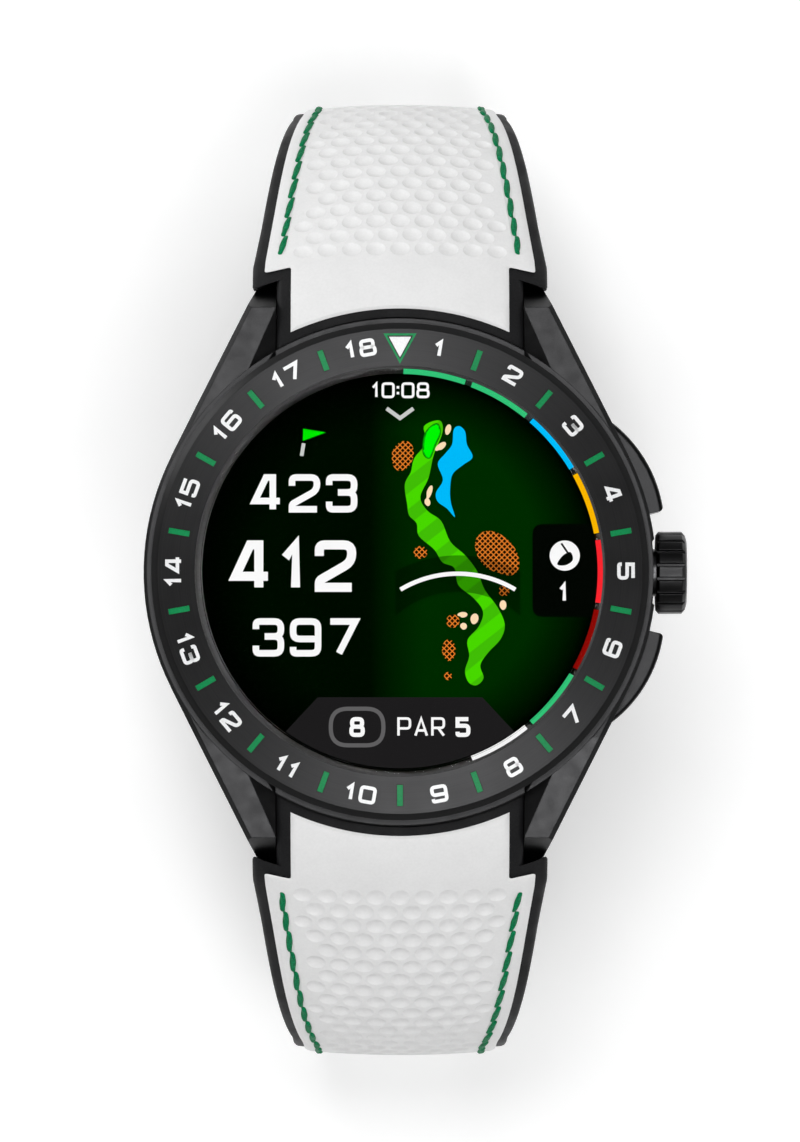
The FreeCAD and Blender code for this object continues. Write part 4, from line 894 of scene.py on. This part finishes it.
def pad_outline(rows, inset=0.0):
    """The pad's edge, drawn in by an inset: an arc at the case, the neck, shoulders and long sides."""
    neck = PAD_NECK_HALF - inset
    x = np.linspace(-neck, neck, 33)
    end = run_at(np.sqrt((PAD_ARC + inset) ** 2 - x * x))
    corner = (neck, PAD_SHOULDER + inset)
    right = [(neck, corner[1] - (corner[1] - end[-1]) * (1 - t)) for t in (0.25, 0.5, 0.75)]
    shoulder = [(neck, corner[1] - CORNER_LEAD), corner,
                (float(pad_half(PAD_SHOULDER)) - inset, corner[1] - PAD_SLANT),
                (float(pad_half(rows[1])) - inset, rows[1])]
    right += rounded(shoulder, CORNER_ROUND)[1:-1]
    right += [(float(pad_half(run)) - inset, run) for run in rows[1:-1]]
    last = PAD_END_RUN - inset
    right.append((float(pad_half(last)) - inset, last))
    left = [(-a, b) for a, b in reversed(right)]
    return list(zip(x, end)) + right + between(right[-1]) + left


def dimple_centres():
    """(x, run, radius) of each dimple: staggered rows, the last in a row smaller where the field ends."""
    centres = []
    for row in range(int((FIELD_END - FIRST_DIMPLE) / PITCH_ALONG) + 1):
        run = FIRST_DIMPLE + PITCH_ALONG * row
        shift = 0.5 * (row % 2)
        reach = int(field_half(run) / PITCH_ACROSS) + 2
        for column in range(-reach, reach + 1):
            x = (column + shift) * PITCH_ACROSS
            radius = min(DIMPLE_RADIUS, field_half(run) + SMALLEST_DIMPLE - abs(x))
            if radius > SMALLEST_DIMPLE:
                centres.append((x, run, radius))
    return centres


def across(run):
    """A line over the pad between its long edges, with points close enough to follow the crown."""
    half = float(pad_half(run))
    steps = 2 * int(half / PITCH_ACROSS)
    inside = [(i * PITCH_ACROSS / 2, run) for i in range(-steps, steps + 1)]
    return [(-half, run)] + inside + [(half, run)]


def between(corner):
    """Points from one long side to the other, in from a corner and its mirror image."""
    half, run = corner
    return [(half * (1 - i / SPAN_POINTS), run) for i in range(1, 2 * SPAN_POINTS)]


def pad_relief(x, run, outline, centres):
    """Depth of the leather's surface below the strap's outer face."""
    depth = crown(x, run)
    corners = np.array(outline)
    reach = np.full(x.shape, FAR)
    for start, step in zip(corners, np.roll(corners, -1, axis=0) - corners):
        t = np.clip(((x - start[0]) * step[0] + (run - start[1]) * step[1]) / (step @ step), 0, 1)
        reach = np.minimum(reach, np.hypot(x - start[0] - t * step[0], run - start[1] - t * step[1]))
    depth = depth + EDGE_DROP * np.clip(1 - reach / EDGE_OFFSETS[-1], 0, 1) ** 2
    beside = np.abs(np.abs(x) - stitch_at(run)) / GROOVE_HALF
    stitched = (run > STITCH_START - GROOVE_LEAD) & (run < STITCH_END + GROOVE_LEAD)
    depth = depth + np.where(stitched, GROOVE_DEPTH * np.clip(1 - beside ** 2, 0, 1), 0)
    hollow = np.zeros(x.shape)
    for cx, centre, radius in centres:
        near = ((x - cx) ** 2 + (run - centre) ** 2) / radius ** 2
        hollow = np.maximum(hollow, DIMPLE_DEPTH * radius / DIMPLE_RADIUS * np.clip(1 - near, 0, 1))
    return depth + hollow


def plain_points():
    """Points that let the smooth parts of the leather follow the crown."""
    runs = [float(run_at(y)) for y in np.arange(PAD_ARC - 1.6, PAD_SHOULDER_Y, PLAIN_STEP)]
    runs += list(np.arange(PAD_SHOULDER + 0.2, FIELD_START, PLAIN_STEP))
    runs += list(np.arange(FIELD_END + 1.2, PAD_END_RUN - 0.6, PLAIN_STEP))
    points = []
    for run in runs:
        y = float(on_path(run)[0])
        neck = PAD_NECK_HALF if run < PAD_SHOULDER + PLAIN_CLEAR else FAR
        for x in PLAIN_COLUMNS:
            clear = min(float(pad_half(run)), neck) - abs(x)
            if clear > PLAIN_CLEAR and y * y + x * x > (PAD_ARC + PLAIN_CLEAR) ** 2:
                points.append((float(x), run))
    return points


def pad_face(rows, outline, centres):
    """The upper face as a flat drawing filled with triangles: edges, grooves, dimples and plain parts."""
    face = Domain()
    face.line(outline, closed=True)
    for inset in EDGE_OFFSETS:
        face.line(pad_outline(rows, inset), closed=True)
    for run in rows[1:-1]:
        face.line(across(run))
    stitched = [run for run in rows if STITCH_START < run < STITCH_END]
    stitched = [STITCH_START - GROOVE_LEAD] + stitched + [STITCH_END + GROOVE_LEAD]
    for offset in GROOVE_LINES:
        side = [(float(stitch_at(run) + offset), run) for run in stitched]
        face.line(side)
        face.line([(-x, run) for x, run in side])
    turns = [2 * math.pi * i / RIM_POINTS for i in range(RIM_POINTS)]
    for cx, run, radius in centres:
        face.line([(cx + radius * math.cos(t), run + radius * math.sin(t)) for t in turns], closed=True)
        for share, step in INNER_RINGS:
            inner = radius * share
            face.points += [(cx + inner * math.cos(t), run + inner * math.sin(t)) for t in turns[::step]]
        face.points.append((cx, run))
    face.points += plain_points()
    return face.fill()


def pad_underside(rows, outline):
    """The plain lower face, drawn and filled the same way."""
    under = Domain()
    under.line(outline, closed=True)
    for run in rows[1:-1]:
        under.line(across(run))
    return under.fill()


def nearest(outline, flat, first=0):
    """For each point of the outline the number of the nearest point of a flat drawing."""
    return [first + int(np.argmin(np.hypot(flat[:, 0] - x, flat[:, 1] - run))) for x, run in outline]


def strap_pad(half):
    """The leather: a face with dimples, a plain underside and a wall round its edge."""
    rows = row_runs()
    outline = pad_outline(rows)
    centres = dimple_centres()
    top, top_faces = pad_face(rows, outline, centres)
    low, low_faces = pad_underside(rows, outline)
    x, run = top[:, 0], top[:, 1]
    points = strap_points(x, run, pad_relief(x, run, outline, centres))
    x, run = low[:, 0], low[:, 1]
    points += strap_points(x, run, crown(x, run) + PAD_DEEP)
    count = len(top)
    edge = nearest(outline, top)
    low_edge = nearest(outline, low, count)
    pairs = list(zip(edge, low_edge))
    walls = [[a, b, d, c] for (a, c), (b, d) in zip(pairs, pairs[1:] + pairs[:1])]
    solid = Solid()
    solid.add(on_half(half, points), top_faces + [[count + i for i in face] for face in low_faces] + walls)
    made = solid.piece(f"strap_{half}_leather", STRAP_WHITE, "strap_white", 17.0)
    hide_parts(f"strap_{half}_root_pad", f"strap_{half}_tail_pad")
    return bend(made)


# ---- the stitching ----

STITCH_PITCH = 2.8
STITCH_LENGTH = 3.1
STITCH_WIDTH = 0.54
STITCH_HEIGHT = 0.5
STITCH_TILT = 0.11
STITCH_HOOK = 0.22
STITCH_RINGS = 17
STITCH_SIDES = 12
SMALLEST_SWELL = 0.02
SUNK_MIDDLE = 0.08
SUNK_END = 0.2
PLY_DEPTH = 0.13
PLY_TWIST = 5.2
STITCH_START = float(run_at(28.5))
STITCH_END = PAD_END_RUN - 1.6


def stitch(centre, side):
    """One stitch as a twisted, pointed bead: its points before they are set on the strap."""
    points = []
    for i in range(STITCH_RINGS + 1):
        t = 2 * i / STITCH_RINGS - 1
        swell = max(max(1 - abs(t) ** 7, 0.0) ** 0.5, SMALLEST_SWELL)
        run = centre + t * STITCH_LENGTH / 2
        lean_out = STITCH_TILT * t * STITCH_LENGTH / 2 + STITCH_HOOK * max(-t, 0) ** 9
        middle = float(stitch_at(run)) + side * lean_out
        sunk = SUNK_MIDDLE + SUNK_END * abs(t) ** 5
        for k in range(STITCH_SIDES):
            turn = 2 * math.pi * k / STITCH_SIDES
            radius = swell * (1 + PLY_DEPTH * math.cos(2 * turn - PLY_TWIST * t))
            x = middle + STITCH_WIDTH / 2 * radius * math.cos(turn)
            points.append((side * x, run, sunk - STITCH_HEIGHT / 2 * radius * math.sin(turn)))
    faces = []
    for i in range(STITCH_RINGS):
        a, b = i * STITCH_SIDES, (i + 1) * STITCH_SIDES
        for k in range(STITCH_SIDES):
            after = (k + 1) % STITCH_SIDES
            faces.append([a + k, a + after, b + after, b + k])
    last = STITCH_RINGS * STITCH_SIDES
    faces += [list(range(STITCH_SIDES)), list(range(last, last + STITCH_SIDES))]
    return points, faces


def stitching(half):
    """Both stitched rows of one half as one piece."""
    solid = Solid()
    count = int((STITCH_END - STITCH_START) / STITCH_PITCH)
    for i in range(count):
        for side in (-1, 1):
            points, faces = stitch(STITCH_START + STITCH_PITCH * (i + 0.5), side)
            x, run, depth = (np.array(column) for column in zip(*points))
            solid.add(on_half(half, strap_points(x, run, depth + crown(x, run))), faces)
    made = solid.piece(f"stitching_{half}", STITCH_GREEN, "lacquer_green", 60.0)
    return bend(made)


# ---- numerals on the bezel ----

NUMERAL_COUNT = 18
NUMERAL_RADIUS = 19.72
NUMERAL_HEIGHT = 1.55
NUMERAL_WIDTH = 1.5
NUMERAL_STROKE = 0.31
NUMERAL_GAP = 0.3
INWARD_NUMERALS = range(6, 14)
BEZEL_SLOPE = 0.6 / 3.3
BORE_RADIUS = CRYSTAL_RADIUS + 0.2
NUMERAL_CORNER = 0.26
INLAY_LOW = -0.04
INLAY_HIGH = 0.02
MARKER_LINE = 0.2


def on_bezel(x, y, level):
    """A point at a level above the bezel's sloping face."""
    return x, y, BEZEL_INNER_Z - (math.hypot(x, y) - BORE_RADIUS) * BEZEL_SLOPE + level


def numerals():
    """The hole numbers from 1 to 18, upright at the top and turned to be read from below at the bottom."""
    solid = Solid()
    for number in range(1, NUMERAL_COUNT + 1):
        angle = math.radians(360 / NUMERAL_COUNT * (number - 0.5))
        out = (math.sin(angle), math.cos(angle))
        right = (out[1], -out[0])
        flip = -1 if number in INWARD_NUMERALS else 1
        lines = lettering(str(number), (0, 0), NUMERAL_HEIGHT, NUMERAL_WIDTH, NUMERAL_STROKE, NUMERAL_GAP,
                          NUMERAL_CORNER)
        for line, closed in lines:
            points, faces = ribbon(line, NUMERAL_STROKE, INLAY_LOW, INLAY_HIGH, closed)
            placed = []
            for u, v, level in points:
                aside, away = flip * u, NUMERAL_RADIUS + flip * v
                x, y = (out[axis] * away + right[axis] * aside for axis in (0, 1))
                placed.append(on_bezel(x, y, level))
            solid.add(placed, faces)
    made = solid.piece("bezel_numerals", WHITE_LACQUER, "lacquer_white")
    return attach(made, "case")


def marker_outline():
    """A green line round the white triangle at 12 o'clock."""
    low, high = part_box("bezel_marker")
    half, top, tip = high.x / MM, high.y / MM, low.y / MM
    side = half + 1.6 * MARKER_LINE
    corners = [(-side, top + MARKER_LINE), (side, top + MARKER_LINE), (0, tip - 2.0 * MARKER_LINE)]
    points, faces = ribbon(corners, MARKER_LINE * 0.9, INLAY_LOW, INLAY_HIGH, True)
    solid = Solid()
    solid.add([on_bezel(*p) for p in points], faces)
    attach(solid.piece("bezel_marker_outline", FINISHES["lacquer_green"], "lacquer_green"), "case")


# ---- the picture on the display ----

LAYERS = [(0.015, 0.035), (0.045, 0.065), (0.075, 0.095), (0.105, 0.125)]
SCREEN_WHITE = tone(255, 255, 255)
RIM_ARC_RADIUS = CRYSTAL_RADIUS - 0.24
RIM_ARC_WIDTH = 0.37
BLOB_POINTS = 28
DENT_ANGLE = 3.9
DENT_SPAN = 0.55


class Picture:
    """Flat shapes of one screen colour, laid on the display panel in one of its layers."""

    def __init__(self, layer):
        self.low, self.high = (DISPLAY_TOP + level for level in LAYERS[layer])
        self.solid = Solid()

    def shape(self, outline):
        self.solid.add(*plate(outline, self.low, self.high))
        return self

    def stroke(self, line, width, closed=False):
        self.solid.add(*ribbon(line, width, self.low, self.high, closed))
        return self

    def text(self, text, centre, height, width, stroke, gap):
        for line, closed in lettering(text, centre, height, width, stroke, gap, height * 0.17):
            self.stroke(line, stroke, closed)
        return self

    def done(self, name, colour_of):
        made = self.solid.piece(f"screen_{name}", lit(f"screen_{name}", colour_of), "display_black")
        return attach(made, "case")


def blob(x, y, width, height, lean_by=0.0, dent=0.0):
    """A soft rounded patch with an optional dent in one side."""
    line = []
    for i in range(BLOB_POINTS):
        t = 2 * math.pi * i / BLOB_POINTS
        reach = 1 - dent * math.exp(-((t - DENT_ANGLE) / DENT_SPAN) ** 2)
        u, v = width / 2 * math.cos(t) * reach, height / 2 * math.sin(t) * reach
        line.append((x + u * math.cos(lean_by) - v * math.sin(lean_by),
                     y + u * math.sin(lean_by) + v * math.cos(lean_by)))
    return line


def score_texts():
    """The distances, time, par and hole number, with the flag and the other small marks."""
    white = Picture(2)
    white.text("10:08", (0.06, 15.84), 1.38, 1.15, 0.22, 0.17)
    white.text("423", (-8.35, 6.82), 3.35, 2.75, 0.57, 0.5)
    white.text("412", (-9.3, 0.46), 4.5, 3.62, 0.79, 0.75)
    white.text("397", (-8.25, -5.77), 3.35, 2.75, 0.57, 0.5)
    white.text("8", (-3.75, -13.6), 1.74, 1.35, 0.36, 0.2)
    white.text("PAR", (1.85, -13.6), 1.71, 1.22, 0.22, 0.26)
    white.text("5", (5.5, -13.6), 1.74, 1.3, 0.36, 0.2)
    white.text("1", (14.3, -1.85), 1.7, 1.25, 0.3, 0.2)
    white.stroke(arc_points(ARC_CENTRE, ARC_RADIUS, -ARC_HALF_ANGLE, ARC_HALF_ANGLE, 32), 0.37)
    white.done("text", plain(SCREEN_WHITE))
    grey = Picture(2)
    grey.stroke([(-1.17, 14.25), (0, 13.4), (1.17, 14.25)], 0.34)
    grey.stroke([(-8.42, 11.2), (-8.6, 10.1)], 0.32)
    grey.done("marks", plain(tone(205, 207, 205)))
    Picture(2).shape([(-8.49, 11.42), (-6.5, 12.15), (-8.45, 12.47)]).done("flag", plain(tone(0, 235, 0)))


def hole_map():
    """The hole: fairway, putting green, water, trees and bunkers, drawn as simple rounded shapes."""
    left = [(2.3, 11.3), (1.25, 9.9), (0.95, 8.7), (0.42, 7.6), (0.62, 5.9), (0.8, 4.9), (1.45, 4.2),
            (1.65, 3.1), (3.0, 1.9), (3.7, 0.8), (4.75, 0.3), (5.1, -1.2), (6.4, -2.3), (7.25, -3.5),
            (6.9, -4.8), (5.9, -6.0), (6.05, -7.4), (5.68, -8.7), (6.0, -9.7), (6.7, -9.95)]
    right = [(7.3, -9.3), (7.02, -8.2), (7.7, -7.1), (8.8, -5.9), (9.15, -4.6), (8.5, -3.1),
             (7.4, -1.6), (6.75, 0.0), (5.7, 1.4), (4.4, 2.6), (3.6, 4.4), (2.4, 5.3), (1.78, 6.5),
             (2.5, 8.2), (2.95, 10.2), (3.72, 12.2), (3.45, 13.2), (2.1, 12.7)]
    Picture(1).shape(flowing(left + right, 5)).done("fairway", mown)
    putting = flowing([(2.25, 12.1), (2.05, 10.4), (2.6, 9.95), (3.05, 11.0), (3.5, 12.1), (3.2, 12.9)], 6)
    Picture(2).stroke(putting, 0.16, closed=True).done("green_edge", plain(tone(6, 128, 8)))
    Picture(2).shape(putting).done("green", plain(tone(0, 252, 2)))
    water = [(4.7, 12.4), (5.2, 12.7), (5.7, 12.2), (5.85, 11.1), (6.35, 10.0), (5.5, 9.3), (4.6, 8.5),
             (4.38, 7.2), (4.45, 6.0), (4.8, 4.75), (4.1, 5.5), (3.3, 6.1), (3.15, 6.9), (3.75, 8.0),
             (3.3, 9.4), (3.95, 10.3), (4.55, 11.1)]
    Picture(1).shape(flowing(water, 5)).done("water", plain(tone(0, 190, 255)))
    trees = Picture(1)
    for patch in ((0.2, 10.1, 1.9, 2.7, -0.35, 0.12), (8.5, 1.5, 3.1, 4.7, 0.72, 0.16),
                  (1.79, 1.66, 1.2, 1.1, 0, 0), (9.1, -1.7, 0.95, 0.95, 0, 0),
                  (4.62, -4.35, 1.15, 1.15, 0, 0), (4.26, -6.9, 1.2, 1.9, 0, 0.1),
                  (4.21, -9.15, 0.7, 0.7, 0, 0)):
        trees.shape(blob(*patch))
    trees.done("trees", foliage)
    bunkers = Picture(2)
    for patch in ((4.2, 12.4, 0.5, 0.95, -0.3, 0.1), (3.55, 10.9, 1.15, 0.55, 0.7, 0.3),
                  (2.55, 6.9, 0.45, 1.3, -0.35, 0.3), (2.4, 6.05, 0.5, 0.7, 0.2, 0.1),
                  (9.0, -2.95, 0.6, 0.85, 0, 0.1), (5.45, -3.8, 0.9, 0.5, 0.1, 0.35),
                  (6.5, -4.15, 0.7, 0.95, -0.3, 0.1), (5.55, -4.8, 0.6, 0.6, 0, 0.15)):
        bunkers.shape(blob(*patch))
    bunkers.done("bunkers", plain(tone(255, 226, 184)))


def panels():
    """The strip along the bottom with its pill, and the club box on the right with its disc."""
    rim = DISPLAY_RADIUS - 0.1
    strip = [(9.9, -13.9), (7.2, -11.0), (-7.2, -11.0), (-9.9, -13.9)]
    strip += arc_points((0, 0), rim, 215.5, 144.5, 24)
    Picture(0).shape(strip).done("strip", plain(tone(30, 29, 30)))
    pill = rounded([(-6.05, -15.2), (-1.45, -15.2), (-1.45, -12.0), (-6.05, -12.0)], 1.5, True, 8)
    Picture(1).stroke(pill, 0.36, closed=True).done("pill", plain(tone(98, 97, 98)))
    box_top, box_low, left, corner = 4.13, -3.98, 11.57, 0.9
    edge = arc_points((0, 0), rim, 76.0, 103.4, 14)
    box = edge + rounded([edge[-1], (left, box_low), (left, box_top), edge[0]], corner)[1:-1]
    Picture(0).shape(box).done("club_box", plain(tone(2, 5, 2)))
    disc = Picture(1)
    disc.shape(arc_points((14.4, 1.38), 1.32, 0, 352, 44))
    disc.done("club_disc", plain(SCREEN_WHITE))
    head = flowing([(13.75, 0.6), (14.5, 0.55), (15.1, 1.0), (14.95, 1.65), (14.55, 1.6), (14.1, 1.25)], 5)
    mark = Picture(2).shape(head)
    mark.stroke([(14.75, 1.5), (14.1, 2.45)], 0.17)
    mark.done("club_mark", plain(tone(4, 8, 4)))


def rim_arcs():
    """Coloured arcs round the display, from 12 o'clock on, each between two ticks."""
    colours = {"green": tone(52, 199, 123), "blue": tone(0, 191, 255), "amber": tone(255, 186, 0),
               "red": tone(255, 38, 48), "maroon": tone(140, 10, 5), "white": tone(250, 250, 250)}
    order = ["green", "green", "blue", "amber", "red", "maroon", "green", "white"]
    step = 360 / NUMERAL_COUNT
    for name, colour in colours.items():
        picture = Picture(0)
        for index, wanted in enumerate(order):
            if wanted == name:
                line = arc_points((0, 0), RIM_ARC_RADIUS, index * step + 1.0, (index + 1) * step - 1.0, 14)
                picture.stroke(line, RIM_ARC_WIDTH)
        picture.done(f"rim_{name}", plain(colour))



# ---- the studio ----

CAMERA_HEIGHT = 700.0
VIEW_HEIGHT = 99.6
CAMERA_TILT = 1.3
FLOOR_REACH = 1.5
FLOOR_GAP = 0.0002
FLOOR_NEAR = 60.0
FLOOR_FAR = 900.0
LIGHT_AIM = Vector((0, 0, 0.03))
LIGHTS = {
    "key": ((-0.04, 0.2, 0.88), 0.25, 3.1),
    "fill": ((0.04, -0.2, 0.88), 0.25, 2.9),
    "low_left": ((-0.6, 0.45, 0.14), 0.35, 1.4),
}


def sky(tree):
    """A white room that is brighter low down than overhead."""
    background = tree.nodes["Background"]
    coords = tree.nodes.new("ShaderNodeTexCoord")
    height = coordinate(tree, coords.outputs["Generated"], "Z")
    shade = ramp(tree, height, (0.0, grey(0.4)), (0.5, grey(0.2)), (1.0, grey(0.1)))
    tree.links.new(shade, background.inputs["Color"])
    background.inputs["Strength"].default_value = 1.0


def studio():
    """The room's light, the camera over the dial and the lamps."""
    scene = bpy.context.scene
    scene.view_settings.view_transform = "Standard"
    world = bpy.data.worlds.new("studio")
    scene.world = world
    world.use_nodes = True
    sky(world.node_tree)

    camera = bpy.data.objects.new("camera", bpy.data.cameras.new("camera"))
    scene.collection.objects.link(camera)
    camera.data.sensor_fit = "VERTICAL"
    camera.data.angle = 2 * math.atan(VIEW_HEIGHT / 2 / CAMERA_HEIGHT)
    tilt = math.radians(CAMERA_TILT)
    back, up = CAMERA_HEIGHT * math.sin(tilt), CAMERA_HEIGHT * math.cos(tilt)
    camera.location = (0, -back * MM, (BEZEL_INNER_Z + up) * MM)
    camera.rotation_euler = (tilt, 0, 0)
    camera.data.clip_start = 0.01
    camera.data.clip_end = 20
    scene.camera = camera

    for name, (place, size, power) in LIGHTS.items():
        lamp = bpy.data.lights.new(name, "AREA")
        lamp.size = size
        lamp.energy = power
        light = bpy.data.objects.new(name, lamp)
        light.location = place
        light.rotation_euler = (LIGHT_AIM - Vector(place)).to_track_quat("-Z", "Y").to_euler()
        scene.collection.objects.link(light)


def floor():
    """A plain white table under the watch, which glows where the lamps don't reach."""
    mesh = bpy.data.meshes.new("floor")
    low = cad_box[0][2] - FLOOR_GAP
    corners = [(x * FLOOR_REACH, y * FLOOR_REACH, low) for x, y in ((-1, -1), (1, -1), (1, 1), (-1, 1))]
    mesh.from_pydata(corners, [], [(0, 1, 2, 3)])
    values = {"Specular IOR Level": 0.1, "Emission Strength": 1.0}
    table = two_tone("table", grey(0.84), grey(0.86), 6.0, (0.8, 0.9), values, 0.0)
    tree = table.node_tree
    away = spread(tree, flat_length(tree, place_of(tree)), 0.0, 1.0, FLOOR_NEAR, FLOOR_FAR)
    # Painted light: the floor glows at 0.3 near the watch, rising to 0.8 far off. This lifts the watch's
    # shadow and stands in for lamp light that fades with distance.
    glow = ramp(tree, away, (0.0, grey(0.3)), (1.0, grey(0.8)))
    tree.links.new(glow, tree.nodes["Principled BSDF"].inputs["Emission Color"])
    mesh.materials.append(table)
    made = bpy.data.objects.new("floor", mesh)
    bpy.context.scene.collection.objects.link(made)


# ---- everything in place ----

dress_nodes()
upper_last = float(run_back_at(EYE_START_Y))
lower_last = LENGTH + STRAP_END + TAIL_REACH
for half, last_run, body in (("upper", upper_last, "strap_upper"), ("lower", lower_last, "strap_lower")):
    strap_base(half, last_run)
    strap_pad(half)
    stitching(half)
numerals()
marker_outline()
score_texts()
hole_map()
panels()
rim_arcs()
studio()
floor()
